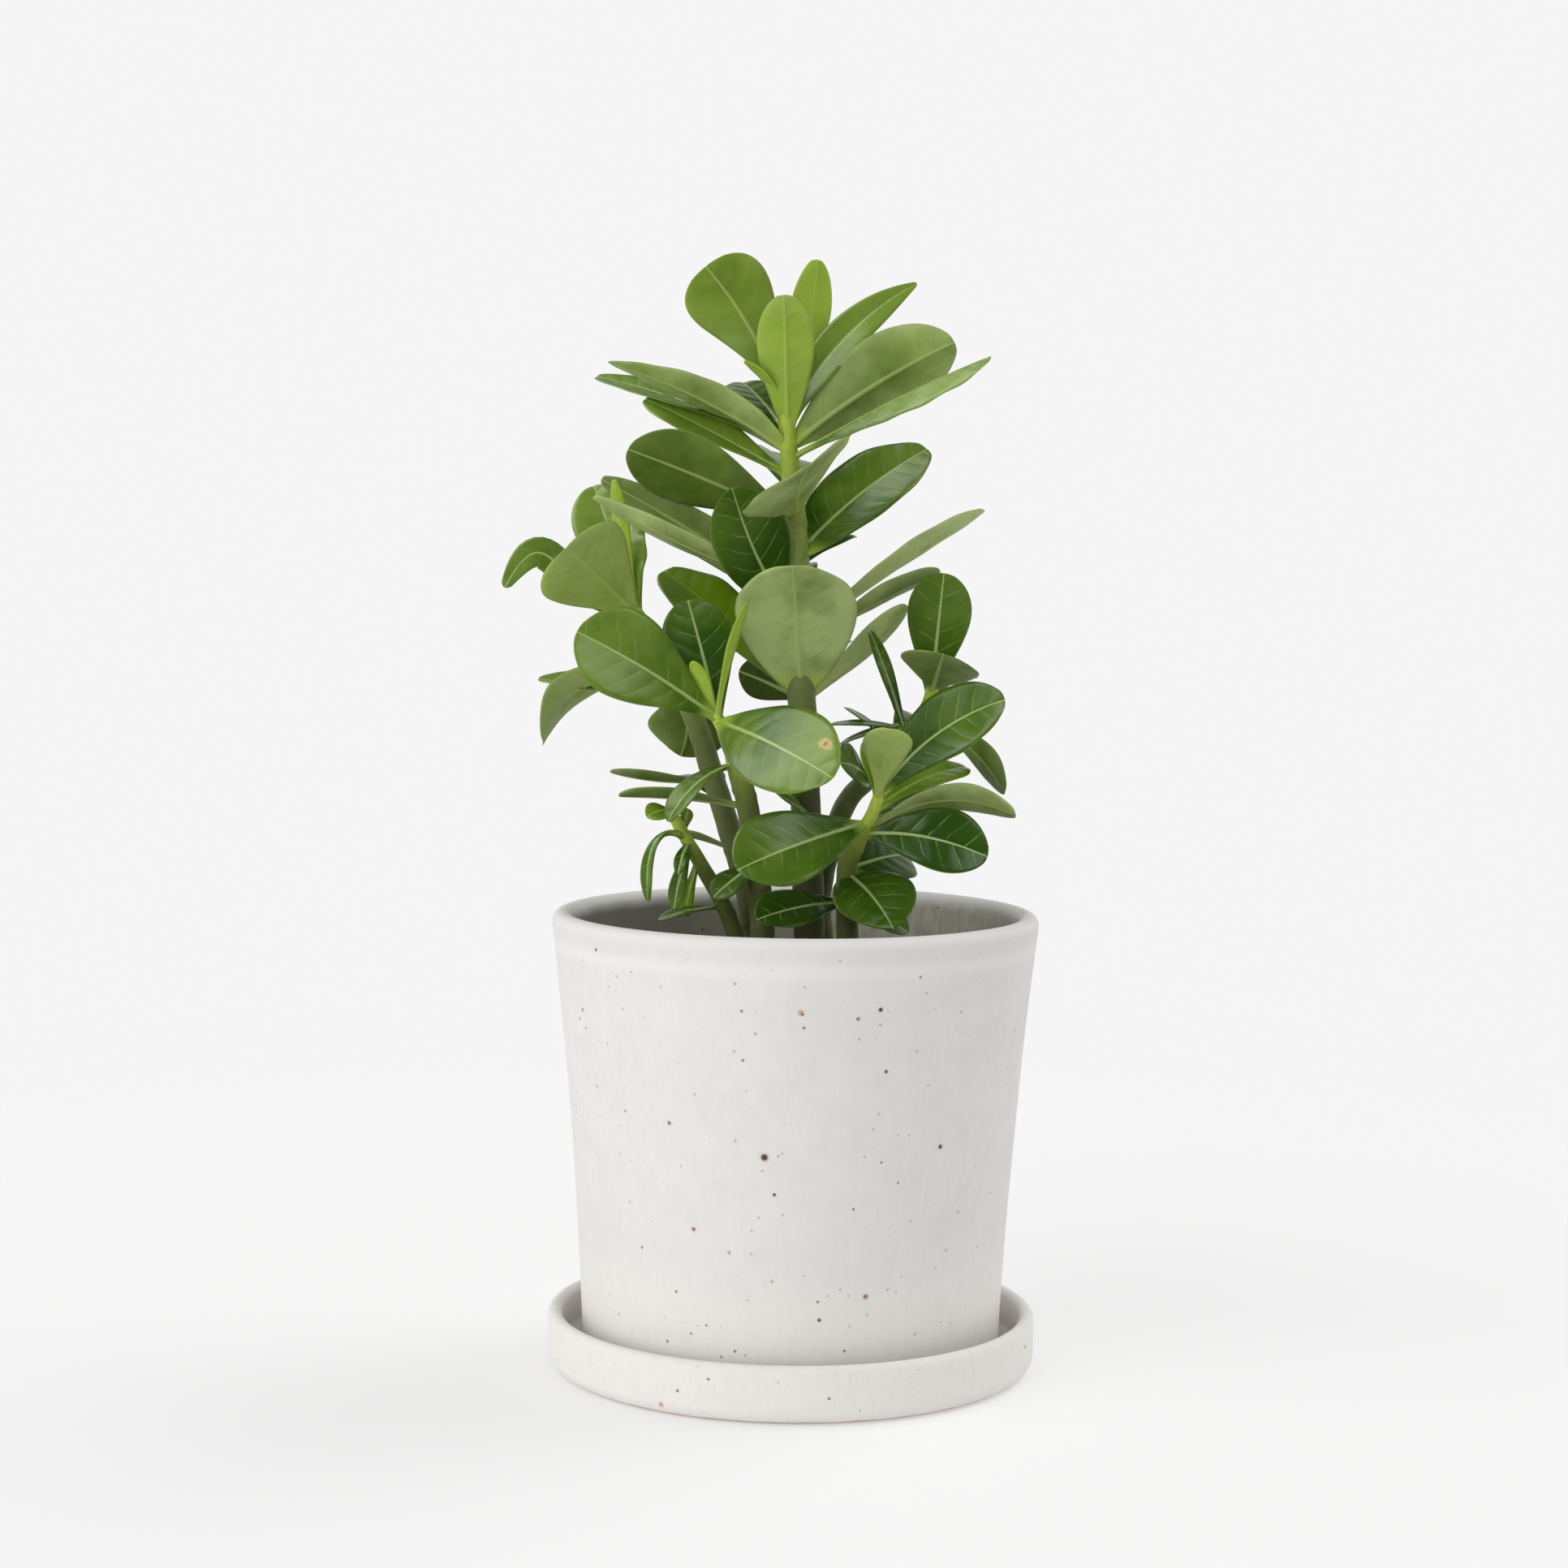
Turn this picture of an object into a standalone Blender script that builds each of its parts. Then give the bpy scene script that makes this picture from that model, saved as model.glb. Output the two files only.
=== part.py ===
"""Potted desert rose (Adenium) in a speckled stoneware pot on its own saucer.

Metres, +Z up. The origin is the middle of the saucer's underside and -Y is the front.
The tables below give places in millimetres, which MM turns into metres.
"""

import math

import bmesh
import bpy
from mathutils import Vector

MM = 0.001
OBJECT_NAME = "potted_desert_rose"
GAP = 0.3

# Saucer
SAUCER_RADIUS = 75.8
SAUCER_HEIGHT = 17.6
SAUCER_WALL = 4.4
SAUCER_FLOOR = 5.0
SAUCER_CORNER = 5.0
SAUCER_INNER_CORNER = 2.5

# Pot: outer radius = foot + flare * u + curve * u * u, with u from 0 at the foot to 1 at the rim
POT_HEIGHT = 136.4
POT_FOOT_RADIUS = 64.8
POT_FLARE = 5.2
POT_CURVE = 5.6
POT_WALL = 6.3
POT_FLOOR = 9.0
POT_CORNER = 4.0
POT_INNER_CORNER = 9.0
DRAIN_RADIUS = 7.0
POT_BASE = SAUCER_FLOOR + GAP
RIM = POT_BASE + POT_HEIGHT

# Soil and the pocket that the swollen base stands in
SOIL_TOP = RIM - 21.0
SOIL_MOUND = 2.0
POCKET_RADIUS = 25.4
POCKET_FLOOR = 92.0

# Swollen base
CAUDEX_CENTRE = (1.0, 1.0)
CAUDEX_RADIUS = 23.6
CAUDEX_TOP = 128.5
DOME_STARTS = 0.78
STUB_LENGTH = 16.0
BARK_SWELL = 1.12

# Leaf blades
BLADE_THICKNESS = 0.9
PETIOLE_WIDTH = 2.6
TIP_SHARE = 0.98
TIP_ROUNDING = 0.03
TIP_CROWDING = 1.7
LARGE_LEAF = 16.0

TURNED_STEPS = 36
ARC_STEPS = 3
STEM_POINTS_PER_SPAN = 2

# What the upper face of a leaf looks towards
BACK = (0.0, 1.0, 0.3)
UP = (0.0, 0.0, 1.0)

# Each stem runs from its seat on the swollen base to its tip: (x, y, z, radius)
STEMS = {
    "leader": [
        (4.5, 1.5, 129.5, 5.0),
        (4.0, 2.0, 140.0, 4.9),
        (2.8, 3.0, 172.0, 4.7),
        (1.1, 2.0, 206.0, 4.4),
        (-1.2, 0.0, 256.0, 3.7),
        (-3.8, -1.0, 284.0, 2.8),
        (-5.2, -2.0, 299.0, 2.0),
    ],
    "front_left": [
        (-10.4, -9.5, 129.5, 3.9),
        (-10.8, -11.0, 145.0, 3.7),
        (-14.8, -18.0, 173.7, 3.4),
        (-18.4, -22.0, 187.5, 3.1),
        (-21.3, -24.0, 194.9, 1.7),
        (-25.0, -26.0, 203.0, 1.5),
    ],
    "back_left": [
        (-12.5, 6.5, 129.5, 3.9),
        (-15.5, 8.0, 148.0, 3.7),
        (-22.0, 10.0, 168.8, 3.6),
        (-27.3, 12.0, 185.1, 3.5),
        (-31.5, 12.0, 197.5, 3.3),
        (-36.5, 10.0, 208.0, 2.6),
        (-43.4, 6.0, 221.9, 2.2),
        (-50.5, 0.0, 234.0, 1.9),
    ],
    "low_left": [
        (-17.2, -3.5, 129.5, 2.7),
        (-20.6, -5.0, 140.0, 2.6),
        (-26.4, -8.5, 151.5, 2.4),
        (-31.4, -12.0, 160.5, 2.1),
        (-36.4, -14.0, 169.4, 1.8),
        (-39.0, -15.0, 174.0, 1.4),
    ],
    "front_right": [
        (16.4, -7.0, 129.5, 3.6),
        (15.6, -9.5, 142.0, 3.3),
        (15.4, -13.0, 156.0, 3.1),
        (18.6, -17.0, 165.0, 2.7),
        (22.1, -20.0, 172.3, 1.9),
        (25.2, -22.0, 181.0, 1.7),
    ],
    "back_right": [
        (8.5, 11.5, 129.5, 3.6),
        (8.0, 12.5, 148.0, 3.5),
        (14.5, 14.0, 172.0, 3.3),
        (21.9, 14.0, 181.5, 3.1),
        (31.1, 14.0, 192.0, 2.6),
        (39.7, 10.0, 203.8, 2.1),
        (42.6, 6.0, 216.0, 1.8),
    ],
}


def leaf(height, tip, width, face=UP, arch=0, fold=12, bend=0, twist=0, wave=0, widest=0.7,
         full=0.58, peak=0.5):
    """One leaf, in millimetres and degrees.

    height is where it leaves its stem, and tip is where it ends. face is what its upper side
    looks towards. arch lifts the midrib off the straight line, most of all at the share of the
    length that peak gives, bend swings it sideways, fold closes the halves like a book, twist
    turns the far end about the midrib, and wave ripples the margins. widest is the share of the
    length where the blade is broadest, and a lower full keeps it broad for longer.
    """
    return dict(
        height=height,
        tip=tip,
        width=width,
        face=face,
        arch=arch,
        fold=fold,
        bend=bend,
        twist=twist,
        wave=wave,
        widest=widest,
        full=full,
        peak=peak,
    )


LEAVES = {
    "leader": [
        leaf(297, (-29.5, -12, 338), 27, BACK, arch=3, bend=-2, fold=8, widest=0.8, full=0.45),
        leaf(286, (-5.8, -20, 329), 17.5, BACK, arch=2, fold=10, widest=0.66),
        leaf(302, (4.2, 9, 342.5), 13.5, (-0.3, 1, 0.2), arch=2, bend=-3, widest=0.68),
        leaf(290, (35, 8, 335.5), 13, (-0.4, -1, 0.4), arch=2, bend=-5, fold=20, twist=-40, widest=0.5,
             full=0.8),
        leaf(284, (46, -8, 316.5), 27, (-0.3, 0.9, 0.1), arch=3, bend=1.5, fold=28, widest=0.64),
        leaf(281, (56, -26, 311), 20, (-0.45, -0.3, 1), arch=1.5, fold=-25),
        leaf(264, (3, -52, 278), 40, (-0.62, 0.2, 0.8), arch=2, fold=8, widest=0.6),
        leaf(283, (-58.7, -14, 309), 20, (0.3, 0.5, 1), arch=4, bend=2, fold=15, widest=0.44, full=0.85),
        leaf(285, (-64.4, 22, 306.5), 13, (0.2, -0.6, 1), arch=2, fold=15),
        leaf(275, (-48.7, 10, 299), 17.5, (0.1, -0.7, 1), arch=1, fold=18),
        leaf(286, (-19, 34, 306), 20, (0.3, -1, 0.6), arch=2),
        leaf(296, (-17.5, -10, 310), 7, (0.7, 0.4, 0.6), arch=1),
        leaf(262, (-52.6, -10, 283), 25, (0.2, 1, 0.5), arch=2, fold=8),
        leaf(251, (39.5, 18, 285), 25, (-0.3, -1, 0.7), arch=2, bend=-1.5, widest=0.55, full=0.5),
        leaf(247.5, (14, 40, 258), 16, (-0.3, -1, 0.7), arch=2),
        leaf(236.5, (-21, -14, 271.5), 27, (0.2, -1, 0.4), arch=1, bend=-5, widest=0.66, peak=0.35),
        leaf(240.5, (-62.7, -16, 268.3), 13, (0.4, 0.6, 1), arch=-2, fold=16, widest=0.6),
        leaf(237, (-61.7, 8, 274.4), 15, (0.2, 1, 0.55), arch=2.5, fold=8, widest=0.5),
        leaf(208.5, (-2.4, -38, 248.3), 37, (0, 1, 0.5), arch=4, fold=4, widest=0.57, full=0.52),
        leaf(227, (56, -8, 265.7), 21, (-0.3, 0.25, 1), arch=0.5, fold=15),
        leaf(222, (43.6, 6, 247), 17, (-0.2, 0.4, 1), arch=1.5, fold=15),
        leaf(206, (33.2, 4, 236.5), 11.5, (-0.5, 0.6, 0.4), arch=1, bend=-3, fold=18),
        leaf(204, (8, 30, 213), 12, (-0.3, -0.5, 1), arch=2),
        leaf(207, (-18.5, 8, 215.5), 15, (-0.3, 0.9, 0.5), arch=1),
        leaf(206, (-43, 24, 246), 24, (0.3, -0.8, 1), arch=3),
        leaf(230, (-26, 36, 256), 22, (0.3, -0.4, 1), arch=2),
        leaf(170, (-8, -20, 181), 16, (0.2, -0.8, 0.8), arch=2),
        leaf(288, (4, 42, 308), 20, (-0.1, -0.5, 1), arch=3),
        leaf(268, (-8, 46, 282), 22, (0.1, -0.5, 1), arch=3),
        leaf(250, (12, 47, 262), 22, (-0.1, -0.5, 1), arch=3),
        leaf(236, (-6, 48, 246), 22, (0.1, -0.5, 1), arch=4),
        leaf(214, (8, 44, 222), 20, (-0.1, -0.5, 1), arch=3),
    ],
    "front_left": [
        leaf(200, (-34, -14, 237.5), 21.5, (0.1, -1, 0.3), arch=2),
        leaf(202, (-66, -38, 228), 30, (0.2, -1, 0.5), arch=3, widest=0.72),
        leaf(201, (10, -60, 187), 30, (0.15, -1, 0.35), arch=3, fold=8, widest=0.64, full=0.55),
        leaf(202, (-15.5, -34, 237.5), 6, (-0.8, 0.5, 0), arch=1),
        leaf(202, (-32, -30, 219.5), 5, (0.3, 1, 0), arch=1),
        leaf(175, (-54.3, -18, 177.9), 14, (0, 0.3, 1), arch=1, fold=20),
        leaf(188, (-38.5, -33, 171.5), 10, (-0.2, -0.5, 1), arch=4, fold=18),
        leaf(157, (-25.1, -20, 147.5), 10, (0, -0.8, 1), arch=1),
    ],
    "back_left": [
        leaf(233, (-69.5, -32, 253), 31, (-0.55, 0.65, 0.53), arch=2, fold=6, widest=0.74, full=0.42),
        leaf(231.5, (-65.2, 25, 272.6), 22, (0, -1, 0.4), arch=0.5),
        leaf(232.5, (-52.3, 8, 261), 11, (-0.3, -1, 0.2), arch=3, wave=1.5),
        leaf(231.5, (-90.6, -2, 240.5), 14, (0.2, -0.3, 1), arch=15, fold=20, twist=-50, widest=0.8,
             peak=0.88),
        leaf(234, (-57.3, -2, 274), 5, (0.2, 1, 0), arch=0),
        leaf(218, (-77.5, -14, 194), 17, (-0.6, 1, 0.8), arch=10, fold=20, peak=0.58),
        leaf(204, (-81, 8, 212), 16, (0, -0.3, 1), arch=1, fold=16),
        leaf(212, (-37, 26, 187.5), 26, (0.1, 1, 0.15), arch=1, bend=3),
        leaf(181, (-58.5, 8, 183.5), 12, (0, 0.3, 1), arch=-1.5, fold=20),
        leaf(159, (-35, 22, 162.5), 12, (0, 0.5, 1), arch=0.5),
        leaf(174, (-34, 34, 181), 16, (0, -0.3, 1), arch=2),
        leaf(212, (-52, 42, 222), 20, (0, -0.4, 1), arch=3),
        leaf(218, (-27, 39, 228), 20, (-0.2, -0.5, 1), arch=3),
    ],
    "low_left": [
        leaf(172, (-45.4, -22, 171.8), 8, (0.2, -0.7, 1), arch=2),
        leaf(167, (-33.4, -8, 173.5), 4, (0.2, -1, 0.2), arch=0.5),
        leaf(165, (-44.8, -20, 146.3), 6, (-0.6, -0.6, 0.5), arch=9, fold=20, peak=0.33),
        leaf(163, (-35.7, -24, 155), 4.5, (-0.2, -1, 0.1), arch=2),
        leaf(162.5, (-37, -20, 143.7), 5.5, (-0.3, -1, 0), arch=2),
        leaf(158, (-34, -3, 139.7), 4.5, (-0.6, -1, 0), arch=1),
        leaf(143, (-42, -12, 139.5), 7.5, (0, -0.2, 1), arch=1),
    ],
    "front_right": [
        leaf(178, (27.2, -44, 200.7), 15, (0, 1, 0.4), arch=1, widest=0.75),
        leaf(178, (61.5, -32, 209), 23.5, (-0.2, -1, 0.8), arch=2, bend=-4, widest=0.66, full=0.55),
        leaf(178, (20, -20, 195.5), 6, (0.5, -1, 0), arch=1),
        leaf(170.5, (-17.6, -46, 158.5), 27, (0.1, -1, 0.8), arch=2, full=0.55),
        leaf(166.5, (57, -32, 162), 22, (0.1, -1, 0.6), arch=6, widest=0.7),
        leaf(174, (52.5, 8, 186.3), 14, (0, -0.6, 1), arch=3),
        leaf(166.5, (66, -22, 174), 16, (-0.1, 0.8, 1), arch=9, widest=0.74),
        leaf(145, (-11.7, -34, 142.5), 16, (0, -0.9, 0.9), arch=2),
        leaf(154, (29, -36, 140.5), 26, (0.1, -0.8, 0.8), arch=3, widest=0.62),
        leaf(143.5, (34, -18, 137), 13, (0, -0.4, 1), arch=2),
        leaf(155.5, (34.5, 8, 158.5), 20, (0, -0.9, 0.5), arch=2),
        leaf(172, (42.6, 0, 179.7), 9, (0, -0.4, 1), arch=1),
    ],
    "back_right": [
        leaf(209.5, (44.3, -2, 246.5), 20, (-0.1, -1, 0.1), arch=1, widest=0.7, full=0.5),
        leaf(210, (43, -30, 222.5), 24.5, (0.25, 0.5, 0.9), arch=1, fold=-4),
        leaf(202, (64, -4, 179.5), 14, (0.3, 0.8, 0.8), arch=3.5),
        leaf(181, (13, -6, 188), 16, (0.2, -1, 0.6), arch=2),
        leaf(199.5, (13.2, 22, 192), 8, (0, -0.3, 1), arch=1),
        leaf(197.2, (9.6, 30, 197.8), 8, (0, -0.2, 1), arch=1),
        leaf(191, (15.4, 36, 203), 7, (0.6, -0.3, 1), arch=1),
        leaf(195, (21.5, -4, 228.5), 6, (0.7, -1, 0.2), arch=1, fold=25),
        leaf(206, (48, 42, 216), 20, (0, -0.5, 1), arch=3),
        leaf(190, (47, 46, 197), 18, (0, -0.5, 1), arch=3),
    ],
}


def clear_scene():
    for old in list(bpy.data.objects):
        bpy.data.objects.remove(old, do_unlink=True)


def new_collection(name):
    made = bpy.data.collections.new(name)
    bpy.context.scene.collection.children.link(made)
    return made


def material(name, colour, roughness, specular=0.5):
    made = bpy.data.materials.new(name)
    made.use_nodes = True
    shader = made.node_tree.nodes["Principled BSDF"]
    shader.inputs["Base Color"].default_value = (*colour, 1.0)
    shader.inputs["Roughness"].default_value = roughness
    shader.inputs["Metallic"].default_value = 0.0
    shader.inputs["Specular IOR Level"].default_value = specular
    made.diffuse_color = (*colour, 1.0)
    return made


def at(point):
    """A place in millimetres, as a vector in metres."""
    return Vector(point) * MM


def smooth(mesh, sharp_angle=40.0):
    mesh.shade_smooth()
    mesh.set_sharp_from_angle(angle=math.radians(sharp_angle))


def arc(centre, radius, start, end, steps=ARC_STEPS):
    """Points on an arc in a turned profile, as (radius, height), from start to end degrees."""
    points = []
    for step in range(steps + 1):
        angle = math.radians(start + (end - start) * step / steps)
        points.append((centre[0] + radius * math.cos(angle), centre[1] + radius * math.sin(angle)))
    return points


def turned(name, profile, finish, home, closed):
    """Turn a profile of (radius, height) millimetres round the Z axis."""
    mesh = bpy.data.meshes.new(name)
    bm = bmesh.new()
    verts = [bm.verts.new((radius * MM, 0.0, height * MM)) for radius, height in profile]
    ends = verts[1:] + verts[:1] if closed else verts[1:]
    for first, second in zip(verts, ends):
        bm.edges.new((first, second))
    bm.to_mesh(mesh)
    bm.free()
    made = bpy.data.objects.new(name, mesh)
    home.objects.link(made)
    screw = made.modifiers.new("turn", "SCREW")
    screw.steps = TURNED_STEPS
    screw.render_steps = TURNED_STEPS
    screw.use_merge_vertices = True
    screw.merge_threshold = 0.00001
    screw.use_smooth_shade = True
    mesh.materials.append(finish)
    return made


def evaluated_mesh(source):
    bpy.context.view_layer.update()
    graph = bpy.context.evaluated_depsgraph_get()
    return bpy.data.meshes.new_from_object(source.evaluated_get(graph))


def pot_outer(height):
    """The pot's outer radius at a height above the table."""
    u = (height - POT_BASE) / POT_HEIGHT
    return POT_FOOT_RADIUS + POT_FLARE * u + POT_CURVE * u * u


def make_saucer(finish, home):
    outer = SAUCER_RADIUS
    inner = outer - SAUCER_WALL
    lip = SAUCER_WALL / 2
    profile = arc((outer - lip, SAUCER_HEIGHT - lip), lip, 90, 0)
    profile += arc((outer - SAUCER_CORNER, SAUCER_CORNER), SAUCER_CORNER, 0, -90)
    profile += [(0.0, 0.0)]
    profile += [(0.0, SAUCER_FLOOR)]
    corner = (inner - SAUCER_INNER_CORNER, SAUCER_FLOOR + SAUCER_INNER_CORNER)
    profile += arc(corner, SAUCER_INNER_CORNER, -90, 0)
    profile += arc((outer - lip, SAUCER_HEIGHT - lip), lip, 180, 90)[:-1]
    return turned("saucer", profile, finish, home, closed=True)


def make_pot(finish, home):
    lip = POT_WALL / 2
    lip_centre = (pot_outer(RIM - lip) - lip, RIM - lip)
    profile = arc(lip_centre, lip, 90, 0)
    for step in range(1, 4):
        height = RIM - lip - (POT_HEIGHT - lip - POT_CORNER) * step / 4
        profile.append((pot_outer(height), height))
    corner = (pot_outer(POT_BASE + POT_CORNER) - POT_CORNER, POT_BASE + POT_CORNER)
    profile += arc(corner, POT_CORNER, 0, -90)
    profile += [(DRAIN_RADIUS, POT_BASE), (DRAIN_RADIUS, POT_BASE + POT_FLOOR)]
    inner_height = POT_BASE + POT_FLOOR + POT_INNER_CORNER
    corner = (pot_outer(inner_height) - POT_WALL - POT_INNER_CORNER, inner_height)
    profile += arc(corner, POT_INNER_CORNER, -90, 0)
    for step in range(1, 4):
        height = inner_height + (RIM - lip - inner_height) * step / 4
        profile.append((pot_outer(height) - POT_WALL, height))
    profile += arc(lip_centre, lip, 180, 90)[:-1]
    return turned("pot", profile, finish, home, closed=True)


def make_soil(finish, home):
    """The filling, with a plain round pocket for the swollen base."""
    def edge(height):
        return pot_outer(height) - POT_WALL - GAP

    floor = POT_BASE + POT_FLOOR + GAP
    corner_height = floor + POT_INNER_CORNER
    profile = [(POCKET_RADIUS, SOIL_TOP + SOIL_MOUND)]
    for share in (0.35, 0.7, 1.0):
        radius = POCKET_RADIUS + (edge(SOIL_TOP) - POCKET_RADIUS) * share
        profile.append((radius, SOIL_TOP + SOIL_MOUND * (1 - share)))
    for step in range(1, 4):
        height = SOIL_TOP + (corner_height - SOIL_TOP) * step / 4
        profile.append((edge(height), height))
    corner = (edge(corner_height) - POT_INNER_CORNER, corner_height)
    profile += arc(corner, POT_INNER_CORNER, 0, -90)
    profile += [(0.0, floor), (0.0, POCKET_FLOOR), (POCKET_RADIUS, POCKET_FLOOR)]
    return turned("soil", profile, finish, home, closed=True)


def tube(name, points, sides_level=2):
    """A round tapering tube along (x, y, z, radius) points in millimetres, as a mesh object."""
    curve = bpy.data.curves.new(name, "CURVE")
    curve.dimensions = "3D"
    curve.bevel_depth = MM
    curve.bevel_resolution = sides_level
    curve.use_fill_caps = True
    spline = curve.splines.new("POLY")
    spline.points.add(len(points) - 1)
    for target, (x, y, z, radius) in zip(spline.points, points):
        target.co = (x * MM, y * MM, z * MM, 1.0)
        target.radius = radius
    guide = bpy.data.objects.new(name + "_guide", curve)
    bpy.context.scene.collection.objects.link(guide)
    mesh = evaluated_mesh(guide)
    bpy.data.objects.remove(guide, do_unlink=True)
    bm = bmesh.new()
    bm.from_mesh(mesh)
    bmesh.ops.remove_doubles(bm, verts=bm.verts, dist=0.00001)
    bm.to_mesh(mesh)
    bm.free()
    return bpy.data.objects.new(name, mesh)


def catmull_rom(before, start, end, after, t):
    """A point between start and end on the smooth curve through all four."""
    value = []
    for a, b, c, d in zip(before, start, end, after):
        linear = c - a
        square = 2 * a - 5 * b + 4 * c - d
        cube = 3 * b - 3 * c + d - a
        value.append(b + 0.5 * t * (linear + t * (square + t * cube)))
    return tuple(value)


def smooth_route(points, per_span=STEM_POINTS_PER_SPAN):
    """The smooth curve through a stem's points, as closer points."""
    padded = [points[0]] + points + [points[-1]]
    route = []
    for before, start, end, after in zip(padded, padded[1:], padded[2:], padded[3:]):
        for step in range(per_span):
            route.append(catmull_rom(before, start, end, after, step / per_span))
    route.append(points[-1])
    return route


def on_stem(route, height):
    """The place on a stem's route at a height."""
    for low, high in zip(route, route[1:]):
        if low[2] <= height <= high[2]:
            share = (height - low[2]) / (high[2] - low[2])
            return tuple(a + (b - a) * share for a, b in zip(low, high))
    return route[-1]


def half_width(leaf_shape, q):
    """Half the blade's width at q, from 0 at the stem to 1 at the tip."""
    widest = leaf_shape["widest"]
    power = math.log(0.5) / math.log(TIP_SHARE * widest)
    fullness = math.sin(math.pi * (TIP_SHARE * q) ** power) ** leaf_shape["full"]
    return math.hypot(leaf_shape["width"] / 2 * fullness, PETIOLE_WIDTH / 2 * (1 - q))


def blade_point(leaf_shape, root, q, s):
    """A point of the blade's middle surface, in millimetres.

    q runs from the stem to the tip, and s from -1 at one margin to 1 at the other.
    """
    tip = Vector(leaf_shape["tip"])
    chord = tip - root
    along = chord.normalized()
    face = Vector(leaf_shape["face"])
    up = (face - along * face.dot(along)).normalized()
    side = along.cross(up)

    t = q - TIP_ROUNDING * leaf_shape["width"] / chord.length * q**3 * s * s
    power = math.log(0.5) / math.log(leaf_shape["peak"])
    rise = t**power
    hump = 4 * rise * (1 - rise)
    lift = leaf_shape["arch"] * hump
    swing = leaf_shape["bend"] * hump
    slope = 4 * power * max(t, 0.02) ** (power - 1) * (1 - 2 * rise) / chord.length
    run = (along + up * (leaf_shape["arch"] * slope) + side * (leaf_shape["bend"] * slope)).normalized()

    turn = math.radians(leaf_shape["twist"]) * q * q
    across = side * math.cos(turn) + up * math.sin(turn)
    across = (across - run * across.dot(run)).normalized()
    normal = across.cross(run)

    reach = half_width(leaf_shape, q) * s
    fold = math.radians(leaf_shape["fold"]) * (1 - 0.4 * q)
    ripple = leaf_shape["wave"] * s * abs(s) * math.sin(3 * math.tau * q) * q
    middle = root + chord * t + up * lift + side * swing
    return middle + across * (reach * math.cos(fold)) + normal * (abs(reach) * math.sin(fold) + ripple)


def make_blade(name, leaf_shape, route):
    """A closed thin blade, rooted on the middle line of its stem."""
    root = Vector(on_stem(route, leaf_shape["height"])[:3])
    large = leaf_shape["width"] >= LARGE_LEAF
    rows = 5 if large else 4
    columns = 4 if large else 2
    bm = bmesh.new()
    bmesh.ops.create_grid(bm, x_segments=columns, y_segments=rows, size=1.0)
    for vert in bm.verts:
        s = vert.co.x
        share = (vert.co.y + 1) / 2
        q = 1 - (1 - share) ** TIP_CROWDING
        vert.co = blade_point(leaf_shape, root, q, s) * MM
    bmesh.ops.triangulate(bm, faces=bm.faces)
    mesh = bpy.data.meshes.new(name)
    bm.to_mesh(mesh)
    bm.free()
    made = bpy.data.objects.new(name, mesh)
    solidify = made.modifiers.new("thickness", "SOLIDIFY")
    solidify.thickness = BLADE_THICKNESS * MM
    solidify.offset = 0.0
    return made


def keep_largest_body(mesh):
    """Drop sealed hollows and loose scraps that a union leaves."""
    bm = bmesh.new()
    bm.from_mesh(mesh)
    bmesh.ops.remove_doubles(bm, verts=bm.verts, dist=0.000001)
    bmesh.ops.dissolve_degenerate(bm, edges=bm.edges, dist=0.000001)
    unseen = set(bm.verts)
    bodies = []
    while unseen:
        body = set()
        edge = [unseen.pop()]
        while edge:
            vert = edge.pop()
            body.add(vert)
            near = {link.other_vert(vert) for link in vert.link_edges} & unseen
            unseen -= near
            edge.extend(near)
        bodies.append(body)
    bodies.sort(key=len)
    scraps = [vert for body in bodies[:-1] for vert in body]
    bmesh.ops.delete(bm, geom=scraps, context="VERTS")
    bm.to_mesh(mesh)
    bm.free()


def fused(name, body, additions, finish, home):
    """One solid of the body and its additions, which are then removed."""
    helpers = new_collection(name + "_additions")
    bpy.context.scene.collection.objects.link(body)
    for addition in additions:
        helpers.objects.link(addition)
    union = body.modifiers.new("union", "BOOLEAN")
    union.operation = "UNION"
    union.operand_type = "COLLECTION"
    union.collection = helpers
    union.solver = "MANIFOLD"
    mesh = evaluated_mesh(body)
    for piece in [body, *additions]:
        bpy.data.objects.remove(piece, do_unlink=True)
    bpy.data.collections.remove(helpers)
    keep_largest_body(mesh)
    mesh.name = name
    mesh.materials.clear()
    mesh.materials.append(finish)
    smooth(mesh)
    made = bpy.data.objects.new(name, mesh)
    home.objects.link(made)
    return made


def make_leafy_stem(stem, finish, home):
    route = smooth_route(STEMS[stem])
    body = tube(stem + "_stem", route)
    blades = []
    for index, leaf_shape in enumerate(LEAVES[stem]):
        blades.append(make_blade(f"{stem}_leaf_{index}", leaf_shape, route))
    return fused(stem, body, blades, finish, home)


def caudex_radius(height, angle):
    """The swollen base's radius: nearly round in its pocket, lobed and domed above it."""
    rise = (height - POCKET_FLOOR) / (CAUDEX_TOP - POCKET_FLOOR)
    swell = math.sqrt(math.sin(math.pi * (0.28 + 0.22 * rise)))
    dome = math.sqrt(max(0.0, 1 - max(0.0, (rise - DOME_STARTS) / (1 - DOME_STARTS)) ** 2.2))
    lobes = 1 + 0.07 * math.cos(5 * angle + 0.6) * max(0.0, rise - 0.55)
    return CAUDEX_RADIUS * swell * dome * lobes


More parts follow.
